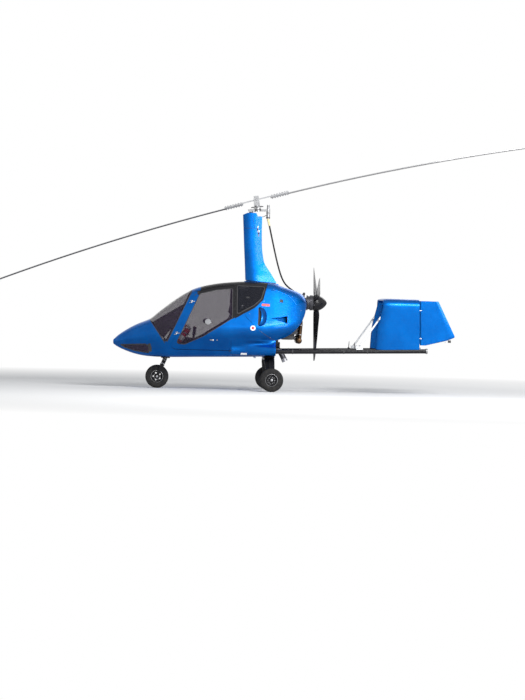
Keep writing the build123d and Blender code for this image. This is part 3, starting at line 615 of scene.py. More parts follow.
def smoothRow(rows, place):
    # A monotone cubic through a table's rows; the first column is the place along it
    xs = [row[0] for row in rows]
    place = min(max(place, xs[0]), xs[-1])
    index = min(max(np.searchsorted(xs, place) - 1, 0), len(xs) - 2)
    out = []
    for column in range(1, len(rows[0])):
        ys = [row[column] for row in rows]
        slopes = [(ys[i + 1] - ys[i]) / (xs[i + 1] - xs[i]) for i in range(len(xs) - 1)]

        def tangent(i):
            if i == 0:
                return slopes[0]
            if i == len(xs) - 1:
                return slopes[-1]
            if slopes[i - 1] * slopes[i] <= 0:
                return 0.0
            return 2 * slopes[i - 1] * slopes[i] / (slopes[i - 1] + slopes[i])

        width = xs[index + 1] - xs[index]
        t = (place - xs[index]) / width
        out.append(ys[index] * (2 * t ** 3 - 3 * t ** 2 + 1)
                   + width * tangent(index) * (t ** 3 - 2 * t ** 2 + t)
                   + ys[index + 1] * (3 * t ** 2 - 2 * t ** 3)
                   + width * tangent(index + 1) * (t ** 3 - t ** 2))
    return out


print("helpers ready")

# Body shell
body = {"wall": 0.022, "pane": 0.006, "lowLean": 0.54, "highLean": 0.41, "ringSpacing": 0.036,
        "panelGap": 0.0035}
# Aft, floor height, roof height, half width at the waist, height of the waist
stations = [
    (-2.302, 0.63, 0.712, 0.044, 0.668), (-2.25, 0.597, 0.762, 0.118, 0.684),
    (-2.15, 0.552, 0.834, 0.208, 0.706), (-2.0, 0.503, 0.922, 0.33, 0.733),
    (-1.9, 0.482, 0.966, 0.4, 0.75), (-1.79, 0.47, 1.012, 0.462, 0.765),
    (-1.65, 0.465, 1.127, 0.525, 0.782), (-1.485, 0.466, 1.257, 0.58, 0.8),
    (-1.3, 0.471, 1.388, 0.626, 0.818), (-1.12, 0.477, 1.482, 0.656, 0.834),
    (-0.92, 0.483, 1.54, 0.676, 0.85), (-0.65, 0.49, 1.583, 0.688, 0.864),
    (-0.3, 0.5, 1.606, 0.69, 0.884), (0.0, 0.51, 1.586, 0.664, 0.91),
    (0.19, 0.515, 1.528, 0.612, 0.94), (0.35, 0.52, 1.478, 0.545, 0.975),
    (0.455, 0.523, 1.428, 0.48, 1.01), (0.515, 0.526, 1.35, 0.42, 1.04),
]
outlines = {
    "windshield": roundOutline([(-1.85, 1.101), (-1.547, 0.652), (-1.094, 1.63), (-1.85, 1.63)],
                               [0, 0.062, 0, 0]),
    "door": roundOutline([(-1.498, 0.59), (-0.545, 0.59), (-0.545, 1.535), (-0.83, 1.506), (-1.115, 1.434)],
                         [0.08, 0.08, 0.03, 0.6, 0.04]),
    "doorway": roundOutline([(-1.498, 0.581), (-0.545, 0.581), (-0.545, 1.544), (-0.83, 1.515),
                             (-1.115, 1.443)], [0.08, 0.08, 0.03, 0.6, 0.04]),
    "window": roundOutline([(-1.4, 0.669), (-1.27, 0.662), (-1.004, 0.787), (-0.741, 0.957), (-0.583, 1.06),
                            (-0.583, 1.494), (-0.83, 1.466), (-1.062, 1.407)],
                           [0.045, 0.02, 0.2, 0.2, 0.025, 0.025, 0.3, 0.03]),
    "quarter": roundOutline([(-0.515, 1.12), (-0.26, 1.262), (-0.165, 1.352), (-0.105, 1.53), (-0.515, 1.54)],
                            [0.02, 0.06, 0.06, 0.025, 0.025]),
    "glasshouse": [(-1.075, 1.395), (-0.985, 1.7), (-0.04, 1.7), (-0.075, 1.566), (-0.135, 1.34),
                   (-0.25, 1.228), (-0.388, 1.149), (-0.56, 1.045), (-0.56, 1.395)],
    "chin": roundOutline([(-2.222, 0.628), (-1.845, 0.65), (-1.795, 0.615), (-1.79, 0.512), (-2.0, 0.54),
                          (-2.15, 0.59)], [0, 0, 0.012, 0.012, 0, 0]),
    "cowl": [(-0.04, 1.7), (-0.075, 1.566), (-0.135, 1.34), (-0.25, 1.228), (-0.388, 1.149),
             (-0.388, 1.085), (-0.187, 0.889), (0.015, 0.757),
             *arcThrough((0.06, 0.746), (0.371, 0.925), (0.515, 1.268), 14), (0.7, 1.268), (0.7, 1.7)],
    "naca": [(-0.021, 1.074), (0.223, 1.11), (0.226, 0.999)],
}


def bodyRing(aft, inset):
    floorZ, roofZ, waistY, waistZ = smoothRow(stations, aft)
    low, high = floorZ + inset, roofZ - inset
    waist = waistY - 1.1 * inset
    floorY = waist - body["lowLean"] * (waistZ - low)
    roofY = waist - body["highLean"] * (high - waistZ)
    size = min(waist, 0.44)
    # y, z, share of rounding, steps on the corner, points on the flat after it
    corners = [(-floorY, low, 0.25, 5, 4), (floorY, low, 0.25, 5, 4), (waist, waistZ, 0.5, 9, 3),
               (roofY, high, 0.38, 8, 5), (-roofY, high, 0.38, 8, 3), (-waist, waistZ, 0.5, 9, 4)]
    arcs = []
    for index, (y, z, share, steps, flats) in enumerate(corners):
        corner = Vector((y, z))
        before = Vector(corners[index - 1][:2]) - corner
        after = Vector(corners[(index + 1) % 6][:2]) - corner
        a, b = before.normalized(), after.normalized()
        half = math.acos(a.dot(b)) / 2
        radius = share * size
        centre = corner + (a + b).normalized() * (radius / math.sin(half))
        first = corner + a * (radius / math.tan(half)) - centre
        last = corner + b * (radius / math.tan(half)) - centre
        swing = first.angle_signed(last)
        arc = []
        for step in range(steps + 1):
            turn = -swing * step / steps
            arc.append(centre + Vector((first.x * math.cos(turn) - first.y * math.sin(turn),
                                        first.x * math.sin(turn) + first.y * math.cos(turn))))
        arcs.append((arc, flats))
    ring = []
    for index, (arc, flats) in enumerate(arcs):
        ring += arc
        following = arcs[(index + 1) % 6][0][0]
        for step in range(1, flats + 1):
            ring.append(arc[-1].lerp(following, step / (flats + 1)))
    return [at(aft, p.x, p.y) for p in ring]


def bodyForm(name, inset):
    first, last = stations[0][0] + inset, stations[-1][0] - inset
    count = round((last - first) / body["ringSpacing"])
    spots = [first + (last - first) * i / count for i in range(count + 1)]
    rings = [bodyRing(spot, inset) for spot in spots]
    if inset == 0:
        # The nose tip closes in a small dome
        for share, shrink in ((0.35, 0.93), (0.75, 0.66), (1.0, 0.3)):
            ring = bodyRing(first, 0)
            middle = sum(ring, Vector()) / len(ring)
            rings.insert(0, [middle + (p - middle) * shrink + Vector((-0.016 * share, 0, 0)) for p in ring])
    return loft(name, rings, angle=50)


# Aft, share of the full boom root
rootRows = [(-0.6, 0.0), (-0.5, 0.03), (-0.4, 0.1), (-0.3, 0.22), (-0.2, 0.38), (-0.1, 0.58), (0.0, 0.82),
            (0.06, 1.0), (0.12, 1.1)]


def boomRoot(side):
    # A swelling on the lower flank that flows into the tail boom
    rings = []
    for step in range(26):
        aft = -0.6 + 0.72 * step / 25
        share = smoothRow(rootRows, aft)[0]
        waistY, waistZ = smoothRow(stations, aft)[2:]

        def flank(z):
            return waistY - body["lowLean"] * (waistZ - z)

        centreY = min(0.632, flank(0.585) + share * 0.15)
        radius = 0.062 if share >= 1 else 0.045 + 0.017 * share
        points = [(flank(0.8) - 0.03, 0.8), (flank(0.765) - 0.004, 0.765)]
        topY = flank(0.7) + (centreY + radius * 0.55 - flank(0.7)) * share
        points.append((flank(0.735) + 0.012 * share, 0.735))
        points.append((max(flank(0.69) + 0.002, topY * 0.6 + flank(0.69) * 0.4), 0.69))
        reach = max(flank(0.6) + 0.004, centreY + radius)
        reachTop = max(flank(0.64) + 0.003, centreY + radius * 0.8)
        points.append((reachTop, 0.645 - 0.012 * share))
        points.append((reach, 0.59))
        points.append((max(flank(0.56) + 0.003, centreY + radius * 0.8), 0.545))
        points.append((max(flank(0.53) + 0.001, centreY + radius * 0.2), 0.524))
        points.append((flank(0.53) - 0.03, 0.522))
        points.append((flank(0.53) - 0.12, 0.55))
        points.append((flank(0.8) - 0.12, 0.75))
        rounded = []
        count = len(points)
        for index in range(count):
            a, b, c, d = (Vector(points[(index + k) % count]) for k in (-1, 0, 1, 2))
            for part in range(4):
                t = part / 4
                rounded.append(0.5 * ((2 * b) + (c - a) * t + (2 * a - 5 * b + 4 * c - d) * t * t
                                      + (3 * b - a - 3 * c + d) * t ** 3))
        rings.append([at(aft, side * p.x, p.y) for p in rounded])
    return loft("root", rings, angle=60)


def skinNormals(obj, *skins):
    # Faces that lie on a smooth skin are shaded as that skin is, right up to a cut edge
    mesh = obj.data
    mesh.shade_smooth()
    mesh.set_sharp_from_angle(angle=math.radians(30))
    normals = [Vector(c.vector) for c in mesh.corner_normals]
    for skin, flip in skins:
        source = skin.data
        tree = treeOf(skin)
        vertexNormals = [Vector(n.vector) * flip for n in source.vertex_normals]
        found = {}
        for polygon in mesh.polygons:
            spot, normal, index, distance = tree.find_nearest(polygon.center, 0.0012)
            if index is None or normal.dot(polygon.normal) * flip < 0.85:
                continue
            for loop in polygon.loop_indices:
                vertex = mesh.loops[loop].vertex_index
                if vertex not in found:
                    place = mesh.vertices[vertex].co
                    spot, normal, index, distance = tree.find_nearest(place)
                    corners = source.polygons[index].vertices
                    weights = poly_3d_calc([source.vertices[c].co for c in corners], spot)
                    found[vertex] = sum((vertexNormals[c] * w for c, w in zip(corners, weights)),
                                        Vector()).normalized()
                normals[loop] = found[vertex]
    mesh.normals_split_custom_set(normals)
    return obj


outer = bodyForm("outer", 0)
inner = bodyForm("inner", body["wall"])
paneInner = bodyForm("paneInner", body["pane"])
withRoots = copyOf(outer, "withRoots")
for side in (-1, 1):
    root = boomRoot(side)
    carve(withRoots, root, "UNION")
    drop(root)
soften(withRoots, 55)
shell = carve(copyOf(withRoots, "shell"), inner)
pane = carve(copyOf(outer, "pane"), paneInner)
outlines["door"] = grow(outlines["door"], 0.002)   # a little larger, so that its gap is narrow
tools = {name: prism("tool_" + name, outline) for name, outline in outlines.items()}
tools["cowlIn"] = prism("tool_cowlIn", grow(outlines["cowl"], -body["panelGap"]))
tools["behind"] = prism("tool_behind", [(0.06, -1), (3, -1), (3, 3), (0.06, 3)], -2, 2)
tools["mast"] = bar("tool_mast", at(-0.27, 0, 0.56), at(-0.325, 0, 2.64), 0.0303)
tools["hub"] = bar("tool_hub", at(0.4, 0, propHeight), at(0.6, 0, propHeight), 0.084)
tools["flex"] = bar("tool_flex", at(0.25, 0, 1.53), at(0.372, 0, 1.455), 0.0123)
print("body forms ready")

hatch = roundOutline([(-0.995, -0.25), (-0.495, -0.25), (-0.495, 0.25), (-0.995, 0.25)], [0.04] * 4)
tools["hatch"] = prism("tool_hatch", hatch, 1.3, 1.7, lambda p, level: at(p.x, p.y, level))
# The rear edge and the top of each door are black
tools["blackPart"] = prism("tool_blackPart", [(-1.072, 1.385), (-1.058, 1.398), (-0.94, 1.425),
                                              (-0.75, 1.462), (-0.592, 1.482), (-0.592, 1.044), (-0.5, 1.1),
                                              (-0.5, 1.7), (-1.1, 1.7), (-1.1, 1.4)])
halfSpace = [(-3, -1), (2, -1), (2, 3), (-3, 3)]
tools["left"] = prism("tool_left", halfSpace, -1.5, 0)
tools["right"] = prism("tool_right", halfSpace, 0, 1.5)
innerTree = treeOf(inner)


def lineInside(obj):
    # Faces on the inner form take the dark lining
    obj.data.materials.append(look["trim"])
    for face in obj.data.polygons:
        if innerTree.find_nearest(face.center)[3] < 0.0012:
            face.material_index = len(obj.data.materials) - 1


def carved(source, name, inside=(), outside=()):
    piece = copyOf(source, name)
    for tool in inside:
        carve(piece, tools[tool], "INTERSECT")
    for tool in outside:
        carve(piece, tools[tool])
    return piece


def skinPiece(name, source, inside, outside, bodyName, material, replaced=()):
    # Part of the thick shell, shaded as the smooth form is and lined inside
    piece = carved(source, name, inside, outside)
    skinNormals(piece, (withRoots, 1), (inner, -1))
    finishPiece(piece, bodyName, material, replaced)
    lineInside(piece)


def panePiece(name, source, tool, bodyName, material, replaced=()):
    piece = carved(source, name, (tool,))
    skinNormals(piece, (outer, 1), (paneInner, -1))
    finishPiece(piece, bodyName, material, replaced)


skinPiece("hull_skin", shell, (), ("windshield", "doorway", "glasshouse", "cowl", "behind", "chin"),
          "airframe", "blue", ("hull",))
print("hull ready")
skinPiece("roof_skin", shell, ("glasshouse",), ("doorway", "quarter", "mast", "hatch"),
          "airframe", "blackGloss", ("roof_frame",))
skinPiece("cowl_skin", shell, ("cowlIn",), ("mast", "hub", "flex", "naca"),
          "airframe", "blue", ("engine_cowl",))
panePiece("windshield_pane", pane, "windshield", "airframe", "glass", ("windshield",))

# Doors, windows and the roof window
doorSkin = carved(shell, "door_skin", ("door",), ("window",))
windowPane = carved(pane, "window_pane", ("window",))
for side, name in bothSides:
    skinPiece("door_skin_" + name, doorSkin, (name,), ("blackPart",), "door_" + name, "blue",
              ("door_" + name,))
    skinPiece("door_rail_" + name, doorSkin, (name, "blackPart"), (), "door_" + name, "blackGloss")
    panePiece("door_pane_" + name, windowPane, name, "door_" + name, "glass", ("door_window_" + name,))
drop(doorSkin, windowPane)
panePiece("quarter_panes", pane, "quarter", "airframe", "quarterGlassShaded", ("small_windows",))
panePiece("chin_panes", pane, "chin", "airframe", "chinGlassShaded")
panePiece("skylight_pane", pane, "hatch", "airframe", "glass")
print("skins ready")

# Mast fairing with its foot flange and the cap above it
fairing = {
    # height, front edge, rear edge, thickness
    "rows": [(1.56, -0.387, 0.092, 0.156), (1.7, -0.394, 0.0, 0.118), (1.9, -0.405, -0.12, 0.096),
             (2.15, -0.42, -0.152, 0.092), (2.395, -0.433, -0.158, 0.09), (2.64, -0.447, -0.157, 0.088)],
    "footGap": [(-0.6, 1.626), (-0.387, 1.626), (0.15, 1.586)], "seam": 2.395, "seamGap": 0.004,
    "crown": [(-0.5, 2.59), (-0.446, 2.59), (-0.375, 2.622), (-0.245, 2.622), (-0.225, 2.57), (-0.1, 2.57)],
}


def tableAt(rows, place):
    return [np.interp(place, [r[0] for r in rows], [r[i] for r in rows]) for i in range(1, len(rows[0]))]


def foilShape(share, closing):
    # Half the thickness of a streamlined section whose full thickness is 1, at a share of its chord
    return 5 * (0.2969 * math.sqrt(share) - 0.126 * share - 0.3516 * share ** 2 + 0.2843 * share ** 3
                - closing * share ** 4)


def streamRing(front, rear, thickness, count=44):
    # A streamlined section with a round nose and a thin tail, as (aft, y) points
    ring = []
    for index in range(count):
        turn = 2 * math.pi * index / count
        share = (1 - math.cos(turn)) / 2
        half = thickness * (foilShape(share, 0.088) + 0.06 * share)
        ring.append((front + (rear - front) * share, half if turn <= math.pi else -half))
    return ring


def fairingRing(height, shrink=0.0):
    front, rear, thickness = smoothRow(fairing["rows"], height)
    return streamRing(front + shrink, rear - shrink, thickness - 2 * shrink)


def makeFairing():
    rings = []
    top = fairing["seam"] - fairing["seamGap"] / 2
    for step in range(31):
        share = step / 30
        ring = []
        nominal = 1.575 + (top - 1.575) * share
        for aft, y in fairingRing(nominal):
            foot = tableAt(fairing["footGap"], aft)[0]
            ring.append(at(aft, y, foot + (top - foot) * share))
        rings.append(ring)
    lower = loft("fairing_skin", rings, angle=50)
    # The flange under it follows the roof line and spreads out over the skin
    rings = []
    for rise, wide in ((-0.028, 0.018), (-0.014, 0.008), (-0.006, 0.002), (0.0, -0.004), (0.001, -0.014)):
        ring = []
        for aft, y in streamRing(-0.402 - wide * 0.6, 0.108 + wide * 0.3, 0.19 + 2 * wide):
            top = tableAt([(-0.6, 1.614), (-0.387, 1.614), (0.15, 1.574)], aft)[0]
            ring.append(at(aft, y, top + rise))
        rings.append(ring)
    flange = loft("fairing_flange", rings, angle=60)
    # A dark inner sleeve shows in the gap between the two
    ring = fairingRing(1.58, 0.012)
    foot = fairing["footGap"]
    sleeve = loft("fairing_sleeve", [[at(aft, y * 0.8, tableAt(foot, aft)[0] + rise) for aft, y in ring]
                                     for rise in (-0.02, 0.01)])
    finishPiece(sleeve, "airframe", "plastic")
    finishPiece(join("mast_fairing_skin", [lower, flange]), "airframe", "blue",
                ("mast_fairing",))


def makeCap():
    def capTop(aft):
        return tableAt(fairing["crown"], aft)[0]

    rings = []
    start, top = fairing["seam"] + fairing["seamGap"] / 2, 2.6
    for step in range(13):
        share = step / 12
        rings.append([at(aft, y, start + (capTop(aft) - start) * share)
                      for aft, y in fairingRing(start + (top - start) * share)])
    # The rim turns in and the top is open down to a dark floor
    for inset, sink in ((0.003, 0.0), (0.006, 0.004), (0.007, 0.03)):
        rings.append([at(aft, y, capTop(aft) - sink) for aft, y in fairingRing(top, inset)])
    finishPiece(loft("cap_skin", rings, angle=40), "airframe", "blue", ("mast_cap",))
    inside = fairingRing(top, 0.0072)
    dark = loft("cap_floor", [[at(aft, y, capTop(aft) - depth) for aft, y in inside]
                              for depth in (0.036, 0.028)])
    finishPiece(dark, "airframe", "plastic")
    # Dark joint band, the seam up the cap's side and the strap clasps at its rear
    band = loft("cap_band", [[at(aft, y, h) for aft, y in fairingRing(fairing["seam"], 0.0035)]
                             for h in (2.385, 2.405)])
    finishPiece(band, "airframe", "plastic")
    for side, name in ((-1, "port"), (1, "starboard")):
        clasps = Group()
        seam = []
        for step in range(15):
            share = step / 14
            height = 2.4 + 0.19 * share
            aft = -0.268 - 0.035 * share
            seam.append(at(aft, side * (flankOf(aft, height) + 0.0002), height))
        clasps.add(hose("cap_seam", seam, 0.0022, 3), "plastic")
        for aft, low, high in ((-0.222, 2.33, 2.43), (-0.205, 2.27, 2.37)):
            middle = (low + high) / 2
            y = side * flankOf(aft, middle)
            clasps.add(boxPiece("strap", at(aft - 0.007, y - 0.003, low), at(aft + 0.007, y + 0.003, high),
                                0.002), "steel")
            clasps.add(boxPiece("buckle", at(aft - 0.011, y - 0.006, middle - 0.014),
                                at(aft + 0.011, y + 0.006, middle + 0.014), 0.003), "darkSteel")
        aft = -0.205
        for height in (2.43, 2.47, 2.55):
            y = flankOf(aft, height)
            clasps.add(bar("screw", at(aft, side * (y - 0.002), height),
                           at(aft, side * (y + 0.0025), height), 0.005, 12), "steel")
        clasps.finish("cap_clasps_" + name, "airframe")


def flankOf(aft, height):
    front, rear, thickness = smoothRow(fairing["rows"], height)
    ring = sorted(p for p in streamRing(front, rear, thickness, 120) if p[1] >= 0)
    return float(np.interp(aft, [p[0] for p in ring], [p[1] for p in ring]))


makeFairing()
makeCap()
print("mast fairing ready")

# Tail unit: two fins joined by a stabiliser in one bent surface
boom = {"y": 0.63, "footAft": 0.06, "footHeight": 0.585, "slope": 0.027248}
tail = {"cornerHeight": 1.29, "cornerRadius": 0.09, "thickness": 0.044, "hingeSpace": 0.024,
        "hinges": (0.83, 1.24), "rows": [(0.64, 1.527), (0.945, 1.546), (1.29, 1.622)], "cornerSteps": 10}


def boomSpot(side, aft):
    return at(aft, side * boom["y"], boom["footHeight"] + (aft - boom["footAft"]) * boom["slope"])


def hingeAft(height):
    return 2.192 - 0.016 * (height - 0.7) / 0.657


def finSection(height, leading, count=34):
    # Closed section as (aft, out), round at the front and square at the hinge
    trailing = hingeAft(height) - tail["hingeSpace"]
    chord = trailing - leading
    half = tail["thickness"] / 2
    upper = []
    for index in range(count // 2):
        share = (1 - math.cos(math.pi * index / (count // 2 - 1) * 0.5)) if index else 0.0
        width = half * min(1, 1.0 - max(0.0, (share - 0.3)) * 0.2)
        swell = math.sqrt(min(1, share / 0.25) * (2 - min(1, share / 0.25)))
        upper.append((leading + chord * share, width * swell))
    return upper + [(aft, -out) for aft, out in reversed(upper[1:])]


def makeTail():
    corner = tail["cornerHeight"]
    sides = []
    for side in (-1, 1):
        rings = []
        for height in np.linspace(tail["rows"][0][0], corner, 14):
            leading = smoothRow(tail["rows"], float(height))[0]
            rings.append([at(aft, side * (boom["y"] + out), float(height))
                          for aft, out in finSection(float(height), leading)])
        for step in range(1, tail["cornerSteps"] + 1):
            turn = math.pi / 2 * step / tail["cornerSteps"]
            ring = []
            for aft, out in finSection(corner, tail["rows"][-1][1]):
                reach = (tail["cornerRadius"] + out) * math.cos(turn) - tail["cornerRadius"]
                rise = (tail["cornerRadius"] + out) * math.sin(turn)
                ring.append(at(aft, side * (boom["y"] + reach), corner + rise))
            rings.append(ring)
        sides.append(rings)
    middle = [[a.lerp(b, share) for a, b in zip(sides[0][-1], sides[1][-1])] for share in (0.25, 0.5, 0.75)]
    unit = loft("tail_skin", sides[0] + middle + sides[1][::-1], angle=45)
    for side in (-1, 1):
        start = boomSpot(side, 1.2)
        tool = bar("tool_boom", start, start + Vector((1.2, 0, 1.2 * boom["slope"])), 0.0325)
        carve(unit, tool)
        drop(tool)
    soften(unit, 45)
    finishPiece(unit, "airframe", "blue", ("tail_fins",))
    # Hinge brackets, pins and the dark cove between fin and rudder
    for side, name in bothSides:
        parts = Group()
        y = side * boom["y"]
        for height in tail["hinges"]:
            aft = hingeAft(height)
            parts.add(boxPiece("bracket", at(aft - 0.032, y - 0.008, height - 0.005),
                               at(aft + 0.008, y + 0.008, height + 0.005), 0.0015), "steel")
            parts.add(bar("pin", at(aft, y, height - 0.028), at(aft, y, height + 0.01), 0.0048, 16), "steel")
        cove = []
        for height in (0.66, 1.0, 1.36):
            aft = hingeAft(height) - tail["hingeSpace"]
            cove.append([at(aft + da, y + dy, height)
                         for da, dy in ((0, -0.015), (0, 0.015), (0.0012, 0.013), (0.0012, -0.013))])
        parts.add(loft("cove", cove), "plastic")
        parts.finish("rudder_brackets_" + name, "airframe")


def makeRudder(side, name):
    y = side * boom["y"]
    outline = roundOutline([(2.1, 0.69), (2.57, 0.808), (2.692, 0.858), (2.434, 1.38), (2.1, 1.38)],
                           [0, 0.06, 0.025, 0.025, 0], 5)
    heights = [0.7132, 0.73, 0.76, 0.785] + [p.y for p in outline if p.x > 2.15]
    heights += [float(h) for h in np.linspace(0.87, 1.35, 15)]
    heights = sorted(set(round(min(h, 1.3795), 5) for h in heights))
    rings = []
    for height in heights:
        crossings = []
        for a, b in zip(outline, outline[1:] + outline[:1]):
            if (a.y - height) * (b.y - height) <= 0 and abs(a.y - b.y) > 1e-9:
                crossings.append(a.x + (b.x - a.x) * (height - a.y) / (b.y - a.y))
        end = max(crossings)
        hinge = hingeAft(height)
        reach = end - hinge
        if reach < 0.012:
            continue
        ring = []
        for index in range(17):
            share = 1 - index / 16
            along = reach * share ** 1.4
            half = 0.017 + (0.003 - 0.017) * min(1, along / 0.56)
            if index == 0:
                half *= 0.4
            ring.append((along, half))
        for index in range(1, 8):
            turn = math.pi / 2 + math.pi * index / 8
            ring.append((0.017 * math.cos(turn), 0.017 * math.sin(turn)))
        ring += [(along, -half) for along, half in reversed(ring[:17])]
        rings.append([at(hinge + a, y + o, height) for a, o in ring])
    blade = loft("rudder_skin_" + name, rings, angle=40)
    for height in tail["hinges"]:
        aft = hingeAft(height)
        notch = boxPiece("tool_notch", at(aft - 0.028, y - 0.04, height - 0.013),
                         at(aft + 0.028, y + 0.04, height + 0.013), 0)
        carve(blade, notch)
        drop(notch)
    soften(blade, 40)
    finishPiece(blade, "rudder_" + name, "blue", ("rudder_" + name,))
    # A control horn under the rudder with its rod end
    parts = Group()
    parts.add(boxPiece("horn", at(2.585, y - 0.004, 0.778), at(2.63, y + 0.004, 0.815), 0.003), "plastic")
    parts.add(bar("rodEnd", at(2.545, y - 0.01, 0.78), at(2.545, y + 0.01, 0.78), 0.006, 12), "steel")
    parts.finish("rudder_horn_" + name, "rudder_" + name)


makeTail()
for side, name in bothSides:
    makeRudder(side, name)
print("tail ready")

# Rotor: hub bar and two drooping blades with a cambered section
rotor = {"pitch": 15.5, "tilt": 7, "drop": 0.023, "droopStart": 0.25, "droopTip": 6.4, "radius": 4.25,
         "chord": 0.21, "thick": 0.026, "undersideShadeFrom": 0.5, "teeth": 72}


def tiltedPair(degrees):
    # The rearward and the upward direction of a part that is tilted back
    turn = math.radians(degrees)
    return Vector((math.cos(turn), 0, math.sin(turn))), Vector((-math.sin(turn), 0, math.cos(turn)))


barAlong, barUp = tiltedPair(rotor["pitch"])
spinSide, spinAxis = tiltedPair(rotor["tilt"])


def wingSection(chord, thick, count=26, nose=0.3):
    # A cambered section as (towards the leading edge, up); the bottom is nearly flat
    ring = []
    for index in range(count):
        turn = 2 * math.pi * index / count
        share = (1 + math.cos(turn)) / 2   # 1 at the tail
        half = thick * foilShape(share, 0.1015)
        rise = half * 1.05 if turn <= math.pi else -half * 0.82
        ring.append((nose * chord - chord * share, rise + 0.0006))
    return ring


def makeBlade(sign, name):
    along = barAlong * sign
    lead = barUp.cross(along)
    radius = (rotor["radius"] - rotor["droopStart"]) / math.radians(rotor["droopTip"])
    rings = []

    def ringAt(reach, sink, droop, chord=rotor["chord"], thick=rotor["thick"]):
        spot = hubSpot + along * reach - barUp * sink
        lift = barUp * math.cos(droop) + along * math.sin(droop)
        rings.append([spot + lead * a + lift * u for a, u in wingSection(chord, thick)])

    ringAt(0.21, rotor["drop"], 0, 0.196, 0.022)
    ringAt(0.214, rotor["drop"], 0)
    for step in range(37):
        droop = math.radians(rotor["droopTip"]) * step / 36 * 0.9985
        ringAt(rotor["droopStart"] + radius * math.sin(droop),
               rotor["drop"] + radius * (1 - math.cos(droop)), droop)
    droop = math.radians(rotor["droopTip"])
    ringAt(rotor["droopStart"] + radius * math.sin(droop), rotor["drop"] + radius * (1 - math.cos(droop)),
           droop, 0.19, 0.018)
    blade = loft("blade_skin_" + name, rings, angle=40)
    blade.data.materials.append(look["bladePale"])
    blade.data.materials.append(look["bladeShadedUnderside"])
    # Faces out along the blade that don't face up get the darker grey: painted shade on the blade undersides
    for polygon in blade.data.polygons:
        reach = (polygon.center - hubSpot).dot(along)
        polygon.material_index = 1 if reach > rotor["undersideShadeFrom"] and polygon.normal.dot(barUp) < 0.75 else 0
    finishPiece(blade, "rotor", None, ("rotor_blade_" + name,))
    # Two rows of bolts with their nuts where the blade meets the hub bar
    bolts = Group()
    for reach in (0.235, 0.275, 0.315, 0.355, 0.395, 0.435, 0.47):
        for y in (-0.018, 0.018):
            foot = hubSpot + along * reach + yAxis * y + barUp * 0.009
            bolts.add(bar("head", foot, foot + barUp * 0.01, 0.0075, 6), "steel")
            bolts.add(bar("nut", foot - barUp * 0.052, foot - barUp * 0.04, 0.0075, 6), "steel")
    bolts.finish("blade_bolts_" + name, "rotor")


makeBlade(-1, "front")
makeBlade(1, "rear")


def makeHub():
    def plate(low, high, reach, half, name):
        rings = []
        for along, shrink in ((-reach, 0.004), (-reach + 0.004, 0), (reach - 0.004, 0), (reach, 0.004)):
            rings.append([hubSpot + barAlong * along + Vector((0, y, 0)) + barUp * z
                          for y, z in ((-half + shrink, low), (-half, low + 0.002), (-half, high - 0.002),
                                       (-half + shrink, high), (half - shrink, high), (half, high - 0.002),
                                       (half, low + 0.002), (half - shrink, low))])
        return loft(name, rings, angle=25)

    parts = Group()
    parts.add(plate(-0.0098, 0.0098, 0.489, 0.0318, "hub_bar_plate"), "alloy")
    parts.add(plate(-0.0238, 0.0238, 0.032, 0.0318, "hub_block"), "alloy")
    for x in (-0.022, 0.022):
        for y in (-0.02, 0.02):
            foot = hubSpot + barAlong * x + yAxis * y + barUp * 0.0235
            parts.add(bar("bolt", foot, foot + barUp * 0.008, 0.006, 6), "steel")
    parts.finish("hub_bar_detail", "rotor", ("hub_bar",))


makeHub()

# Rotor tower details: ring gear teeth, cheek bolts and plate bolts
parts = Group()
for out in spread(rotor["teeth"], spinSide, yAxis):
    around = spinAxis.cross(out)
    foot = hubSpot + spinAxis * -0.1135 + out * 0.0875
    points = [foot + spinAxis * rise + out * reach + around * (width * sign)
              for rise in (0, 0.011) for reach, width in ((0, 0.0028), (0.0045, 0.0014)) for sign in (-1, 1)]
    faces = [(0, 1, 3, 2), (4, 6, 7, 5), (0, 4, 5, 1), (2, 3, 7, 6), (0, 2, 6, 4), (1, 5, 7, 3)]
    parts.add(build("tooth", points, faces), "darkSteel")
for side in (-1, 1):
    for x, z, size, height in ((-0.026, -0.065, 0.006, 0.006), (0.026, -0.065, 0.006, 0.006),
                               (0.0, 0.0, 0.014, 0.012)):
        foot = hubSpot + spinSide * x + spinAxis * z + yAxis * (side * 0.0465)
        parts.add(bar("bolt", foot, foot + yAxis * (side * height), size, 6), "steel")
for out in spread(8, spinSide, yAxis):
    foot = hubSpot + spinAxis * -0.1018 + out * 0.066
    parts.add(bar("bolt", foot, foot + spinAxis * 0.005, 0.005, 6), "steel")
parts.finish("tower_detail", "rotor_tower")
dress("rotor_tower", "alloy")
dress("rotor_head", "alloy")

# Rotor head details: bolts, a collar, control rods down into the cap, bands and a cable
parts = Group()
for out in spread(6, spinSide, yAxis, 0.5):
    foot = hubSpot + spinAxis * -0.1722 + out * 0.042
    parts.add(bar("bolt", foot, foot - spinAxis * 0.006, 0.006, 6), "steel")
parts.add(lathe("collar", [(0, 0.0522), (0.003, 0.056), (0.012, 0.056), (0.015, 0.0522)],
                hubSpot + spinAxis * -0.158, spinAxis, 48), "darkSteel")
for side in (-1, 1):
    top = at(-0.3, side * 0.05, 2.655)
    parts.add(bar("eye", top - yAxis * 0.012, top + yAxis * 0.012, 0.012, 20), "steel")
    parts.add(bar("rod", top, at(-0.3, side * 0.028, 2.6), 0.007, 16), "steel")
for low, high, radius, paint in ((2.545, 2.565, 0.0292, "darkSteel"), (2.62, 2.628, 0.0292, "darkSteel"),
                                 (2.668, 2.69, 0.0265, "steel")):
    width = high - low
    parts.add(lathe("band", [(0, radius - 0.001), (0.001, radius), (width - 0.001, radius),
                             (width, radius - 0.001)], at(-0.072, 0, low), zAxis, 32), paint)
cable = [at(-0.095, 0.02, 2.6), at(-0.13, 0.035, 2.56), at(-0.2, 0.03, 2.575), at(-0.235, 0.015, 2.56)]
parts.add(hose("cable", cable, 0.004, 4), "sheath")
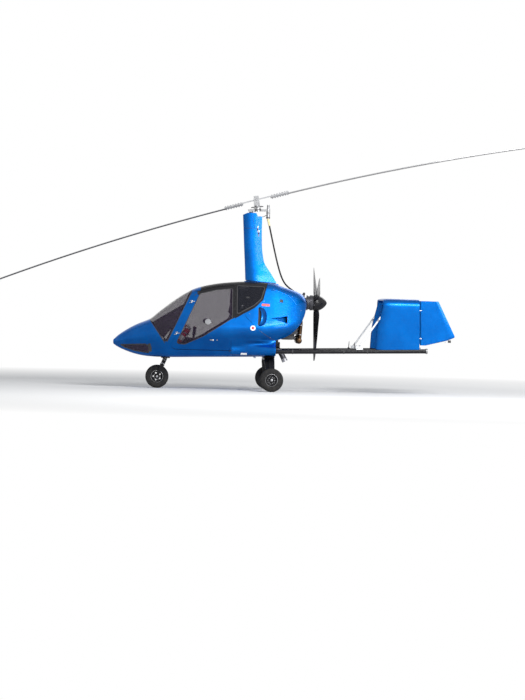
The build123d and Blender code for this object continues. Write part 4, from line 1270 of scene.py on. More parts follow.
parts.finish("head_detail", "airframe")

# Flexible shaft from the engine to the starter gear on the head
flexRoute = [at(-0.068, 0, 2.519), at(0.025, 0, 2.11), at(0.102, 0, 1.81), at(0.168, 0, 1.63),
             at(0.25, 0, 1.53), at(0.372, 0, 1.455)]
flexible = tube("flex_sheath", flexRoute, 0.012)
finishPiece(flexible, "airframe", "sheath", ("drive_shaft",))
sleeveDir = (flexRoute[0] - flexRoute[1]).normalized()
sleeve = lathe("flex_sleeve", [(-0.085, 0.0125), (-0.08, 0.015), (-0.02, 0.0165), (-0.015, 0.0185),
                               (0.02, 0.0185), (0.026, 0.0165), (0.05, 0.0165)], flexRoute[0], sleeveDir, 28)
finishPiece(sleeve, "airframe", "sleeve")
print("rotor ready")

# Propeller and spinner
prop = {"blades": 3, "turn": -7, "rows": [(0.08, 0.08, 0.034, 52), (0.2, 0.134, 0.026, 38),
                                          (0.48, 0.14, 0.015, 24), (0.76, 0.106, 0.009, 16),
                                          (0.865, 0.058, 0.006, 14)]}
spinner = lathe("spinner_shell", [(0.0, 0.119), (0.001, 0.1255), (0.004, 0.127), (0.04, 0.1232),
                                  (0.079, 0.1118), (0.118, 0.0927), (0.145, 0.074), (0.165, 0.056),
                                  (0.18, 0.038), (0.19, 0.022), (0.1955, 0.01), (0.197, 0.0015)],
                at(0.633, 0, propHeight), xAxis, 72, 40)
finishPiece(spinner, "propeller", "blackGloss", ("spinner",))
drum = lathe("prop_drum", [(-0.106, 0.09), (-0.104, 0.112), (-0.092, 0.112), (-0.088, 0.1), (-0.06, 0.098),
                           (-0.056, 0.112), (-0.012, 0.112), (-0.01, 0.104), (-0.004, 0.104),
                           (-0.0005, 0.112)], at(0.633, 0, propHeight), xAxis, 60, 30)
finishPiece(drum, "propeller", "darkSteel", ("prop_hub",))
parts = Group()
for out in spread(6, zAxis, yAxis):
    foot = at(0.5215, 0, propHeight) + out * 0.075
    parts.add(bar("bolt", foot, foot + xAxis * 0.006, 0.009, 6), "steel")
for out in spread(12, zAxis, yAxis, 0.5):
    foot = at(0.645, 0, propHeight)
    parts.add(bar("screw", foot + out * 0.1245, foot + out * 0.1272, 0.0035, 10), "steel")
parts.finish("prop_fasteners", "propeller")


def makeProp():
    blades = Group()
    centre = at(0.662, 0, propHeight)
    for index in range(prop["blades"]):
        angle = math.radians(180 + prop["turn"] + 120 * index)
        outward = Vector((0, math.sin(angle), math.cos(angle)))
        around = xAxis.cross(outward)
        rings = []
        for step in range(31):
            radius = 0.08 + (0.865 - 0.08) * (1 - (1 - step / 30) ** 1.25)
            chord, thick, pitch = smoothRow(prop["rows"], radius)
            if radius > 0.845:
                chord *= math.sqrt(max(0.12, 1 - ((radius - 0.845) / 0.0203) ** 2))
            tilt = math.radians(pitch)
            lead = around * math.cos(tilt) - xAxis * math.sin(tilt)
            lift = outward.cross(lead)
            rings.append([centre + outward * radius + lead * a + lift * u
                          for a, u in wingSection(chord, thick)])
        blades.add(loft("prop_blade", rings, angle=40), "carbon")
    blades.finish("prop_blade_set", "propeller", ("prop_blades",))


makeProp()
print("propeller ready")

# Points and strips on the body's skin
skinTree = treeOf(withRoots)


def skinPoint(side, aft, z, lift=0.0):
    spot, normal, index, distance = skinTree.ray_cast(at(aft, side * 2, z), Vector((0, -side, 0)))
    if spot is None:
        spot, normal, index, distance = skinTree.find_nearest(at(aft, side * 0.6, z))
    if normal.y * side < 0:
        normal = -normal
    return spot + normal * lift, normal


def ribbon(name, side, line, width, thick=0.002, closed=False, lift=0.0, step=0.02):
    # A flat strip that follows a side-view line over the skin
    pts = [Vector(p) for p in line]
    if closed:
        pts.append(pts[0])
    dense = []
    for a, b in zip(pts, pts[1:]):
        parts = max(1, int((b - a).length / step))
        dense += [a.lerp(b, i / parts) for i in range(parts)]
    if not closed:
        dense.append(pts[-1])
    rings = []
    for index, point in enumerate(dense):
        before = dense[index - 1] if index or closed else point
        after = dense[(index + 1) % len(dense)] if index < len(dense) - 1 or closed else point
        along = (after - before).normalized()
        across = Vector((-along.y, along.x))
        ring = []
        for reach, rise in ((-0.5, -0.4), (-0.5, 0.6), (-0.32, 1.0), (0.32, 1.0), (0.5, 0.6), (0.5, -0.4)):
            p = point + across * (reach * width)
            ring.append(skinPoint(side, p.x, p.y, lift + rise * thick)[0])
        rings.append(ring)
    if closed:
        rings.append(rings[0])
        piece = loft(name, rings, angle=50, ends=False)
        weld(piece)
        return soften(piece, 50)
    return loft(name, rings, angle=50)


def patch(name, side, outline, thick=0.0012):
    # A thin plate with a side-view outline, lying on the skin
    corners = [Vector(p) for p in outline]
    centre = sum(corners, Vector((0, 0))) / len(corners)
    outline = []
    for a, b in zip(corners, corners[1:] + corners[:1]):
        parts = max(1, int((b - a).length / 0.008))
        outline += [a.lerp(b, i / parts) for i in range(parts)]
    rings = []
    for share, lift in ((0.02, thick), (0.5, thick), (0.97, thick), (1.0, thick * 0.7), (1.0, -0.001)):
        rings.append([skinPoint(side, *(centre.lerp(Vector(p), share)), lift)[0] for p in outline])
    return loft(name, rings, angle=40)


trim = {
    "seal": 0.009, "cap": (-0.281, 0.923), "handle": (-0.859, 0.735),
    "crease": [(-0.02, 1.487), (0.101, 1.471), (0.2, 1.43), (0.29, 1.37), (0.345, 1.31), (0.362, 1.281)],
    "redLabel": [(-0.157, 1.252), (-0.04, 1.245), (-0.037, 1.279), (-0.15, 1.286)],
    "whiteLabel": [(-0.45, 0.525), (-0.36, 0.527), (-0.362, 0.556), (-0.448, 0.554)],
    "scoop": (-0.213, -0.075, 0.952, 1.232), "scoopBulge": 0.066,
}


def makeScoop(side):
    front, rear, low, high = trim["scoop"]
    columns, rowCount = 24, 26

    def lipAt(v):
        return front + 0.008 + 0.042 * (1 - (2 * v - 1) ** 2) + 0.01 * v

    def hoodPoint(v, u, sink):
        span = max(0.0, 1 - (2 * v - 1) ** 2)
        z = low + (high - low) * v
        start = lipAt(v)
        stop = start + (rear - 0.004 - start) * (0.2 + 0.8 * math.sqrt(span))
        base, normal = skinPoint(side, start + (stop - start) * u, z)
        swell = trim["scoopBulge"] * span ** 0.6 * (1 - u ** 2) ** 1.15
        return base + Vector((0, side, 0)) * max(-0.003, swell - sink)

    rings = []
    for row in range(rowCount + 1):
        v = row / rowCount
        ring = [hoodPoint(v, column / columns, -0.0006) for column in range(columns + 1)]
        ring += [hoodPoint(v, 0.02 + 0.98 * column / columns, 0.005) for column in range(columns, -1, -1)]
        rings.append(ring)
    hood = loft("scoop_hood", rings, angle=50)
    painted(hood, "blue")
    # A dark plate on the skin ahead of the lip: painted shade inside the scoop's mouth
    edge = [(front - 0.004 + 0.008 * (1 - (2 * v - 1) ** 2) + 0.01 * v, low + (high - low) * v)
            for v in [0.05 + 0.09 * i for i in range(11)]]
    edge += [(lipAt(v) + 0.012, low + (high - low) * v) for v in [0.95 - 0.09 * i for i in range(11)]]
    floor = patch("scoop_mouth_shade", side, edge, 0.0024)
    painted(floor, "plastic")
    # A shallow ramp leads the air in
    ramp = ribbon("scoop_ramp", side, [(-0.345, 1.035), (-0.28, 1.03), (-0.215, 1.04)], 0.006, 0.0025)
    painted(ramp, "blue")
    return [hood, floor, ramp]


def makeInlet(side):
    upper = [(-0.021, 1.066), (0.05, 1.074), (0.11, 1.084), (0.16, 1.099), (0.215, 1.112), (0.228, 1.11)]
    lower = [(-0.021, 1.06), (0.05, 1.054), (0.11, 1.042), (0.16, 1.024), (0.215, 0.999), (0.228, 1.0)]
    rings = []
    for top, bottom in zip(upper, lower):
        depth = 0.002 + 0.05 * max(0.0, (top[0] + 0.021) / 0.249) ** 1.2
        ring = []
        for share in (0.0, 0.0, 0.25, 0.5, 0.75, 1.0, 1.0):
            z = bottom[1] + (top[1] - bottom[1]) * share
            ring.append((top[0], z, depth))
        pts = []
        for index, (aft, z, deep) in enumerate(ring):
            base, normal = skinPoint(side, aft, z)
            pts.append(base - normal * (0.001 if index in (0, 6) else deep))
        rings.append(pts)
    ramp = loft("inlet_ramp", rings, closed=False, angle=35)
    thick = ramp.modifiers.new("thick", "SOLIDIFY")
    thick.thickness = 0.003
    bake(ramp)
    painted(soften(ramp, 35), "blue")
    # A dark block at the rear of the inlet ramp: painted shade in the inlet's opening
    base, normal = skinPoint(side, 0.224, 1.055)
    mouth = boxPiece("inlet_mouth_shade", base + Vector((-0.003, -side * 0.052, -0.05)),
                     base + Vector((0.001, -side * 0.004, 0.05)), 0)
    painted(mouth, "plastic")
    rim = ribbon("inlet_rim", side, upper + lower[::-1], 0.004, 0.0015, True)
    painted(rim, "blue")
    return [ramp, mouth, rim]


def makeSkinTrim():
    for (side, half), name in zip(bothSides, ("port", "starboard")):
        fixed = Group(*makeScoop(side), *makeInlet(side))
        fixed.add(ribbon("crease", side, trim["crease"], 0.012, 0.004), "blue")
        fixed.add(ribbon("windshield_seal", side, outlines["windshield"][1:9], 0.012, 0.0016), "plastic")
        fixed.add(ribbon("post_seal", side, [(-1.85, 1.101), (-1.56, 0.671)], 0.009, 0.0016), "plastic")
        fixed.add(ribbon("post_seal", side, [(-1.53, 0.689), (-1.115, 1.585)], 0.009, 0.0016), "plastic")
        fixed.add(ribbon("quarter_seal", side, outlines["quarter"], trim["seal"], 0.0016, True), "plastic")
        fixed.add(ribbon("chin_seal", side, [(-2.205, 0.629), (-1.845, 0.65), (-1.795, 0.615),
                                             (-1.79, 0.525), (-2.0, 0.548), (-2.15, 0.594)], 0.014, 0.0018,
                         True), "plastic")
        fixed.add(ribbon("chin_band", side, [(-1.795, 0.656), (-1.775, 0.6), (-1.772, 0.54)], 0.045, 0.0018),
                  "plastic")
        fixed.add(ribbon("flank_line", side, [(-0.187, 0.889), (0.015, 0.757), (0.055, 0.748)], 0.006,
                         0.001), "plastic")
        # A dark plate inside a raised rim: painted shade of a small recess in the cowl
        recess = roundOutline([(0.104, 1.312), (0.158, 1.302), (0.164, 1.345), (0.116, 1.359)], [0.008] * 4)
        fixed.add(patch("recess", side, recess), "plastic")
        fixed.add(ribbon("recess_rim", side, recess, 0.005, 0.003, True, step=0.01), "blue")
        for spot in ((-0.33, 1.13), (-0.12, 1.32), (0.02, 1.5), (0.3, 1.4), (0.43, 1.2), (0.4, 0.99),
                     (-0.15, 0.87), (-0.02, 0.79), (0.16, 1.5)):
            base, normal = skinPoint(side, *spot)
            fixed.add(bar("screw", base - normal * 0.001, base + normal * 0.0012, 0.0042, 14), "steel")
        # Fuel filler: a white ring with a plain red cap in the middle
        base, normal = skinPoint(side, *trim["cap"])
        if side < 0:
            fixed.add(lathe("filler", [(-0.004, 0.038), (0.006, 0.04), (0.01, 0.0385), (0.012, 0.034),
                                       (0.01, 0.026), (0.01, 0.002)], base, normal, 48), "white")
            fixed.add(lathe("filler_cap", [(0.009, 0.0175), (0.014, 0.0185), (0.0165, 0.0165),
                                           (0.0165, 0.001)], base, normal, 40), "red")
            fixed.add(patch("plain_plate", side, roundOutline(trim["redLabel"], [0.003] * 4, 3)), "redLabel")
        fixed.add(patch("plain_plate", side, roundOutline(trim["whiteLabel"], [0.003] * 4, 3)), "white")
        fixed.finish("skin_trim_" + name, "airframe", ("skin_fittings",) if side < 0 else ())
        moving = Group(painted(ribbon("window_seal", side, outlines["window"], trim["seal"], 0.0016, True),
                               "plastic"))
        # Door handle: a pivot, a flat lever and its key lock
        base, normal = skinPoint(side, *trim["handle"])
        moving.add(lathe("pivot", [(0, 0.014), (0.008, 0.0135), (0.011, 0.011)], base, normal, 28), "steel")
        p, q = skinPoint(side, -0.905, 0.729)[0], skinPoint(side, -0.85, 0.741)[0]
        near, far = (0.008, 0.015) if side > 0 else (-0.015, -0.008)
        low, high = Vector((p.x, min(p.y, q.y) + near, p.z)), Vector((q.x, max(p.y, q.y) + far, q.z))
        moving.add(boxPiece("lever", low, high, 0.003), "steel")
        base, normal = skinPoint(side, -0.8, 0.735)
        moving.add(lathe("lock", [(0, 0.009), (0.003, 0.0085), (0.003, 0.002)], base, normal, 20), "steel")
        low, high = Vector((-1.20324, side * 0.590997, 0.82)), Vector((-0.98964, side * 0.470311, 1.29))
        along = (high - low).normalized()
        for spot in (low, high):
            moving.add(bar("knuckle", spot - along * 0.0108, spot + along * 0.0108, 0.0085, 18), "steel")
            towards = skinPoint(side, spot.x - axleX + 0.045, spot.z + 0.004, 0.003)[0]
            moving.add(bar("leaf", spot, towards, 0.0065, 10), "steel")
        moving.finish("door_trim_" + half, "door_" + half)
        ears = Group()
        for spot in (low, high):
            for sign in (-1, 1):
                ears.add(bar("ear", spot + along * (0.0115 * sign), spot + along * (0.023 * sign), 0.0085,
                             18), "steel")
            towards = skinPoint(side, spot.x - axleX - 0.03, spot.z - 0.002, -0.002)[0]
            ears.add(bar("foot", spot + along * 0.017, towards + along * 0.017, 0.0055, 10), "steel")
            ears.add(bar("foot", spot - along * 0.017, towards - along * 0.017, 0.0055, 10), "steel")
        ears.finish("hinge_ears_" + half, "airframe")
    # Aerial under the belly and a lamp at the nose
    section = ((0, 0), (0.3, 0.005), (1, 0), (0.3, -0.005))
    fin = loft("aerial", [[at(-0.243 + 0.034 * a + lean, y, z) for a, y in section]
                          for z, lean in ((0.51, 0), (0.482, 0.006), (0.4755, 0.012))])
    finishPiece(fin, "airframe", "white")
    lamp = lathe("nose_lamp", [(-0.004, 0.02), (0.004, 0.021), (0.008, 0.017), (0.01, 0.006)],
                 at(-2.296, 0, 0.675), (-1, 0, 0.05), 32)
    finishPiece(lamp, "airframe", "lens")


makeSkinTrim()
print("skin trim ready")


# Wheels
wheel = {"radius": 0.172, "halfTrack": 0.875, "spokes": 5, "boltCircle": 0.046, "holeCircle": 0.052,
         "rake": 23.3}
tyreProfile = [(-0.04, 0.0925), (-0.049, 0.097), (-0.0515, 0.11), (-0.052, 0.128), (-0.0495, 0.145),
               (-0.0445, 0.157), (-0.038, 0.1645), (-0.03, 0.1685), (-0.0285, 0.1688), (-0.028, 0.1652),
               (-0.0245, 0.1652), (-0.024, 0.1702), (-0.0125, 0.1714), (-0.012, 0.1672), (-0.0085, 0.1672),
               (-0.008, 0.1718), (0.0, 0.172)]
tyreProfile += [(-y, r) for y, r in reversed(tyreProfile[:-1])]
rimProfile = [(-0.0545, 0.0125), (-0.0545, 0.024), (-0.052, 0.0265), (-0.034, 0.0275), (-0.016, 0.03),
              (-0.012, 0.036), (-0.012, 0.062), (-0.015, 0.07), (-0.03, 0.0765), (-0.04, 0.0785),
              (-0.0415, 0.0905), (-0.0405, 0.0915), (-0.036, 0.0912)]
rimProfile += [(-y, r) for y, r in reversed(rimProfile)]


def makeWheel(name, centre, bodyName, brake):
    rubber = lathe("tyre_tread_" + name, tyreProfile, centre, yAxis, 88, 30, True)
    finishPiece(rubber, bodyName, "rubber", ("tyre_" + name,))
    rim = lathe("rim_disc", rimProfile, centre, yAxis, 72, 30, True)
    for out in spread(wheel["spokes"], xAxis, zAxis, 0.5):
        spot = centre + out * wheel["holeCircle"]
        tool = bar("tool_hole", spot - Vector((0, 0.03, 0)), spot + Vector((0, 0.03, 0)), 0.0125, 20)
        carve(rim, tool)
        drop(tool)
    soften(rim, 32)
    parts = Group(painted(rim, "gearBlack"))
    for side in (-1, 1):
        for out in spread(wheel["spokes"], xAxis, zAxis):
            spot = centre + out * wheel["boltCircle"]
            parts.add(bar("nut", spot + Vector((0, side * 0.0118, 0)), spot + Vector((0, side * 0.022, 0)),
                          0.008, 6), "steel")
            parts.add(bar("stud", spot + Vector((0, side * 0.021, 0)), spot + Vector((0, side * 0.027, 0)),
                          0.0042, 10), "steel")
        parts.add(lathe("hub_ring", [(0, 0.0275), (side * 0.004, 0.029), (side * 0.01, 0.029),
                                     (side * 0.013, 0.0275)], centre + Vector((0, side * 0.034, 0)), yAxis,
                        32, 30, True), "alloy")
        parts.add(lathe("lip_ring", [(0, 0.0865), (side * 0.0005, 0.0895), (side * 0.0015, 0.0895),
                                     (side * 0.002, 0.0865)], centre + Vector((0, side * 0.0402, 0)), yAxis,
                        64, 30, True), "castSteel")
    spot = centre + Vector((0.0, -0.041, 0.083))
    parts.add(bar("valve", spot + Vector((0, 0.004, -0.004)), spot + Vector((0, -0.012, -0.012)), 0.003, 10),
              "steel")
    if brake:
        parts.add(lathe("brake_disc", [(0, 0.036), (0, 0.074), (-brake * 0.004, 0.074),
                                       (-brake * 0.004, 0.036)], centre + Vector((0, -brake * 0.04, 0)),
                        yAxis, 64, 30, True), "castSteel")
    parts.finish("rim_dish_" + name, bodyName, ("rim_" + name,))


noseCentre = at(-1.658, 0, wheel["radius"])
makeWheel("left", at(0, -wheel["halfTrack"], wheel["radius"]), "wheel_left", -1)
makeWheel("right", at(0, wheel["halfTrack"], wheel["radius"]), "wheel_right", 1)
makeWheel("nose", noseCentre, "wheel_nose", 0)

gear = Group()
for side in (-1, 1):
    spot = at(0, side * 0.815, wheel["radius"])
    gear.add(boxPiece("caliper", spot + Vector((0.02, -0.018, 0.045)), spot + Vector((0.072, 0.018, 0.088)),
                      0.006), "castSteel")
    gear.add(bar("hose", spot + Vector((0.045, 0, 0.085)), spot + Vector((0.04, -side * 0.02, 0.13)), 0.004,
                 10), "sheath")
    line = [spot + Vector((0.04, -side * 0.02, 0.12)), at(-0.02, side * 0.76, 0.33),
            at(-0.02, side * 0.62, 0.405), at(-0.02, side * 0.48, 0.472), at(-0.02, side * 0.38, 0.48)]
    gear.add(hose("hose", line, 0.0045, 4), "sheath")
    gear.add(lathe("axle_cap", [(0, 0.0175), (side * 0.002, 0.0195), (side * 0.0055, 0.0175),
                                (side * 0.0085, 0.009), (side * 0.0092, 0.001)],
                   at(0, side * 0.9302, wheel["radius"]), yAxis, 32), "alloy")
    for dx in (-0.055, 0.055):
        for y in (0.17, 0.235):
            spot = at(-0.02 + dx, side * y, 0.4625)
            gear.add(bar("bolt", spot - Vector((0, 0, 0.007)), spot, 0.009, 6), "steel")
gear.finish("gear_detail", "airframe")
dress("main_gear", "gearBlack")
dress("nose_leg", "gearBlack")
dress("nose_fork", "gearBlack")
steerDir = tiltedPair(-wheel["rake"])[1]
forkBits = Group()
for side in (-1, 1):
    forkBits.add(lathe("axle_nut", [(0, 0.017), (side * 0.009, 0.017), (side * 0.0095, 0.01),
                                    (side * 0.002, 0.01)], noseCentre + Vector((0, side * 0.0762, 0)), yAxis,
                       6), "steel")
    spot = noseCentre + steerDir * 0.188 + yAxis * (side * 0.058)
    forkBits.add(bar("bolt", spot, spot + steerDir * 0.014, 0.008, 6), "steel")
forkBits.add(lathe("race", [(0, 0.033), (0.003, 0.036), (0.006, 0.033)], noseCentre + steerDir * 0.1935,
                   steerDir, 40), "steel")
forkBits.finish("fork_detail", "steering")
legBits = Group()
for reach in (0.208, 0.262, 0.29):
    legBits.add(lathe("band", [(0, 0.0298), (0.001, 0.0325), (0.009, 0.0325), (0.01, 0.0298)],
                      noseCentre + steerDir * reach, steerDir, 40), "castSteel")
for dx, y in ((-0.05, -0.042), (-0.05, 0.042), (0.05, -0.042), (0.05, 0.042)):
    legBits.add(bar("bolt", at(-1.538 + dx, y, 0.4405), at(-1.538 + dx, y, 0.4475), 0.008, 6), "steel")
legBits.finish("nose_leg_detail", "airframe")
print("wheels ready")

# Booms, struts and their fittings
dress("tail_booms", "blackGloss")
dress("tail_struts", "white")
boomDir = Vector((2.202, 0, 0.06)).normalized()
bits = Group()
for side in (-1, 1):
    end = at(2.262, side * boom["y"], 0.645)
    bits.add(lathe("end_ring", [(0.0, 0.0382), (0.004, 0.0395), (0.01, 0.0395), (0.014, 0.0382)],
                   end + boomDir * 0.006, boomDir, 48), "alloy")
    bits.add(lathe("end_plug", [(0.0255, 0.024), (0.0275, 0.023), (0.0282, 0.004)], end, boomDir, 32),
             "alloy")
    for aft in (0.3, 1.05, 1.4):
        spot = boomSpot(side, aft)
        bits.add(lathe("boom_band", [(0.0, 0.0322), (0.002, 0.0345), (0.016, 0.0345), (0.018, 0.0322)], spot,
                       boomDir, 48), "plastic")
    # A small black aerial stands on each boom ahead of the strut
    spot = at(1.21, side * boom["y"], 0.645)
    bits.add(lathe("post", [(0, 0.017), (0.012, 0.016), (0.016, 0.006), (0.07, 0.005), (0.105, 0.0035),
                            (0.107, 0.001)], spot, (0.06, 0, 1), 24), "plastic")
    for dx in (-0.03, 0.03):
        for dy in (-0.0185, 0.0185):
            base = at(1.29 + dx, side * boom["y"] + dy, 0.668)
            bits.add(bar("bolt", base, base + Vector((0, 0.006 if dy > 0 else -0.006, 0)), 0.006, 6), "steel")
    start, end = at(1.268, side * boom["y"], 0.6635), at(1.586, side * boom["y"], 1.1243)
    along = (end - start).normalized()
    bits.add(bar("strut_end", start + along * 0.015, start + along * 0.055, 0.0145, 20), "steel")
    bits.add(bar("strut_end", end - along * 0.075, end - along * 0.035, 0.0145, 20), "steel")
bits.finish("boom_detail", "airframe")
print("booms ready")

# Exhaust
ends = at(0.418, 0, 0.75)
can = lathe("muffler", [(-0.24, 0.012), (-0.238, 0.03), (-0.23, 0.04), (-0.218, 0.0445), (-0.196, 0.045),
                        (-0.192, 0.0462), (-0.184, 0.0462), (-0.18, 0.045), (0.18, 0.045), (0.184, 0.0462),
                        (0.192, 0.0462), (0.196, 0.045), (0.218, 0.0445), (0.23, 0.04), (0.238, 0.03),
                        (0.24, 0.012)], ends, yAxis, 56)
parts = Group(painted(can, "pipe"))
for side in (-1, 1):
    y = side * 0.15
    header = hose("header", [at(0.39, y, 1.07), at(0.425, y, 1.07), at(0.449, y, 1.045), at(0.44, y, 0.9),
                             at(0.43, y, 0.75)], 0.0265, 10)
    parts.add(header, "pipe")
    for height in (0.84, 0.98):
        aft = 0.43 + (height - 0.75) * 0.06
        parts.add(lathe("clamp", [(-0.007, 0.0275), (-0.006, 0.0305), (0.006, 0.0305), (0.007, 0.0275)],
                        at(aft, y, height), (0.06, 0, 1), 36), "steel")
    parts.add(lathe("flange", [(-0.005, 0.03), (-0.004, 0.04), (0.004, 0.04), (0.005, 0.03)],
                    at(0.396, y, 1.07), xAxis, 6), "castSteel")
route = [at(0.06, -0.15, 0.618), at(0.108, -0.15, 0.618), at(0.15, -0.15, 0.585), at(0.19, -0.15, 0.51),
         at(0.225, -0.15, 0.44)]
parts.add(hose("tailpipe", route, 0.0405, 12), "darkSteel")
down = (route[-1] - route[-2]).normalized()
parts.add(lathe("tip", [(-0.045, 0.0412), (-0.044, 0.0428), (0.0005, 0.0428), (0.0005, 0.0378),
                        (-0.03, 0.0375), (-0.03, 0.002)], route[-1], down, 48), "steel")
parts.add(lathe("tip_dark", [(-0.029, 0.002), (-0.029, 0.0374), (-0.0285, 0.0374), (-0.0285, 0.002)],
                route[-1], down, 32), "plastic")
parts.finish("exhaust_pipes", "airframe", ("exhaust",))

# Engine details around the plain block
dress("engine", "engineDark")
dress("rear_bulkhead", "plastic")
dress("mast", "darkSteel")
parts = Group()
for index in range(9):
    z = 0.865 + 0.04 * index
    parts.add(boxPiece("fin", at(0.389, -0.262, z), at(0.398, 0.262, z + 0.012), 0.002), "engineDark")
for side in (-1, 1):
    for aft in (0.0, 0.15, 0.29):
        parts.add(boxPiece("rocker", at(aft - 0.05, side * 0.269 - 0.012, 0.93),
                           at(aft + 0.05, side * 0.269 + 0.012, 1.06), 0.008), "castSteel")
        parts.add(bar("plug", at(aft, side * 0.278, 0.995), at(aft + 0.01, side * 0.3, 0.985), 0.012, 16),
                  "red")
        lead = [at(aft + 0.01, side * 0.298, 0.985), at(aft + 0.04, side * 0.31, 1.04),
                at(aft + 0.03, side * 0.27, 1.18), at(0.1, side * 0.16, 1.26)]
        parts.add(hose("lead", lead, 0.0045, 4), "red")
    intake = [at(0.3, side * 0.2, 1.22), at(0.31, side * 0.2, 1.3), at(0.26, side * 0.16, 1.345),
              at(0.12, side * 0.12, 1.35)]
    parts.add(hose("intake", intake, 0.024, 8), "castSteel")
    line = [at(0.39, side * 0.09, 0.93), at(0.425, side * 0.09, 0.9), at(0.4, side * 0.075, 0.8),
            at(0.33, side * 0.07, 0.775)]
    parts.add(hose("hose", line, 0.015, 7), "sheath")
    parts.add(bar("bowl", at(0.14, side * 0.15, 1.345), at(0.14, side * 0.15, 1.26), 0.03, 28), "castSteel")
    for z in (1.16, 1.2, 1.24):
        parts.add(bar("bolt", at(0.459, side * 0.055, z), at(0.466, side * 0.055, z), 0.007, 6), "steel")
for out in spread(10, yAxis, zAxis, 0.5):
    spot = at(0.517, 0, propHeight) + out * 0.056
    parts.add(bar("bolt", spot, spot + xAxis * 0.006, 0.006, 6), "steel")
parts.add(lathe("gear_lip", [(0, 0.0738), (0.002, 0.079), (0.01, 0.079), (0.012, 0.0738)],
                at(0.49, 0, propHeight), xAxis, 56), "castSteel")
for index in range(14):
    z = 0.595 + 0.0088 * index
    parts.add(boxPiece("core", at(0.1497, 0.024, z), at(0.153, 0.166, z + 0.0032), 0), "castSteel")
line = [at(0.1, 0.15, 0.718), at(0.1, 0.15, 0.76), at(0.13, 0.19, 0.79), at(0.17, 0.2, 0.8)]
parts.add(hose("hose", line, 0.013, 7), "sheath")
# Short steel elbows and rubber mounts low at the rear of the engine
for side in (-1, 1):
    parts.add(bar("elbow", at(0.33, side * 0.2, 0.8), at(0.36, side * 0.215, 0.775), 0.022, 24), "steel")
    parts.add(bar("mount", at(0.335, side * 0.205, 0.79), at(0.352, side * 0.205, 0.79), 0.026, 24), "rubber")
# Small fittings above the gear case
parts.add(bar("post", at(0.488, 0.0, 1.375), at(0.488, -0.01, 1.43), 0.01, 16), "plastic")
parts.add(boxPiece("sensor", at(0.472, -0.03, 1.425), at(0.504, 0.012, 1.462), 0.005), "plastic")
parts.add(bar("pipe", at(0.455, -0.02, 1.385), at(0.47, -0.045, 1.448), 0.006, 12), "steel")
parts.add(boxPiece("clip", at(0.44, -0.05, 1.4), at(0.462, -0.01, 1.418), 0.003), "steel")
parts.finish("engine_detail", "airframe")
print("engine ready")

# Cabin: seats, dashboard, console, sticks and trim
cabin = {"seatWidth": 0.205, "seatY": 0.272, "padPressure": 4.0, "padCap": 0.012, "voxel": 0.006,
         "frames": 20}


def padForm(name, outline, rounds, halfWidth, edge=0.02):
    # A closed pad: a side-view outline carried across, drawn in near both ends
    ring = roundOutline(outline, rounds, 5)
    centre = sum(ring, Vector((0, 0))) / len(ring)
    rings = []
    for share, inset in ((-1.0, 0.62), (-0.985, 0.28), (-0.955, 0.08), (-0.9, 0.0), (-0.45, 0.0), (0.0, 0.0),
                         (0.45, 0.0), (0.9, 0.0), (0.955, 0.08), (0.985, 0.28), (1.0, 0.62)):
        pts = []
        for p in ring:
            pull = (centre - p).normalized() * min(edge * inset, (centre - p).length * 0.6)
            pts.append(at(p.x + pull.x, share * halfWidth, p.y + pull.y))
        rings.append(pts)
    return loft(name, rings, angle=60)


def plump(obj):
    # Remeshes a pad, lets its own pressure swell it, and keeps the result
    before = obj.modifiers.new("remesh", "REMESH")
    before.mode = "VOXEL"
    before.voxel_size = cabin["voxel"]
    bake(obj)
    start = [v.co.copy() for v in obj.data.vertices]
    cloth = obj.modifiers.new("swell", "CLOTH")
    cloth.settings.use_pressure = True
    cloth.settings.uniform_pressure_force = cabin["padPressure"]
    cloth.settings.effector_weights.gravity = 0
    cloth.settings.quality = 5
    scene = bpy.context.scene
    cloth.point_cache.frame_start = 1
    cloth.point_cache.frame_end = cabin["frames"]
    for frameNumber in range(1, cabin["frames"] + 1):
        scene.frame_set(frameNumber)
    bake(obj)
    scene.frame_set(1)
    for vertex, first in zip(obj.data.vertices, start):
        move = vertex.co - first
        if move.length > cabin["padCap"]:
            vertex.co = first + move * (cabin["padCap"] / move.length)
    return obj


def stitch(obj, axis, low, high, count, depth, width=0.009, margin=0.03):
    # Sewn channels: narrow grooves across the pad at even steps along an axis
    normals = [v.normal.copy() for v in obj.data.vertices]
    for vertex, normal in zip(obj.data.vertices, normals):
        along = vertex.co.dot(axis)
        side = abs(vertex.co.y) / (cabin["seatWidth"] - margin)
        fade = max(0.0, min(1.0, (1.08 - side) / 0.12))
        push = 0.0
        for index in range(count):
            line = low + (high - low) * (index + 0.5) / count
            push += math.exp(-((along - line) / width) ** 2)
        edging = math.exp(-((abs(vertex.co.y) - (cabin["seatWidth"] - margin - 0.012)) / width) ** 2)
        vertex.co = vertex.co - normal * (depth * min(1.0, push * fade + edging * 0.8))


def padCopy(obj, name, y):
    new = copyOf(obj, name)
    for vertex in new.data.vertices:
        vertex.co.y += y
    return new


cushion = plump(padForm("cushion", [(-1.046, 0.686), (-1.052, 0.756), (-0.708, 0.712), (-0.69, 0.645)],
                        [0.022, 0.03, 0.02, 0.015], cabin["seatWidth"] - 0.012))
backPad = plump(padForm("backPad", [(-0.678, 0.728), (-0.662, 0.8), (-0.622, 0.985), (-0.598, 1.075),
                                    (-0.575, 1.075), (-0.605, 0.87), (-0.648, 0.7)],
                        [0.025, 0.06, 0.1, 0.012, 0.012, 0.08, 0.02], cabin["seatWidth"] - 0.014))
headPad = plump(padForm("headPad", [(-0.606, 1.115), (-0.598, 1.19), (-0.571, 1.268), (-0.548, 1.268),
                                    (-0.568, 1.115)], [0.015, 0.05, 0.012, 0.012, 0.012], 0.125))
stitch(cushion, xAxis, -1.03 + axleX, -0.71 + axleX, 6, 0.0055)
stitch(backPad, zAxis, 0.74, 1.06, 6, 0.0055)
for pad in (cushion, backPad, headPad):
    finer = pad.modifiers.new("finer", "SUBSURF")
    finer.levels = 1
    bake(pad)
    soften(pad, 60)
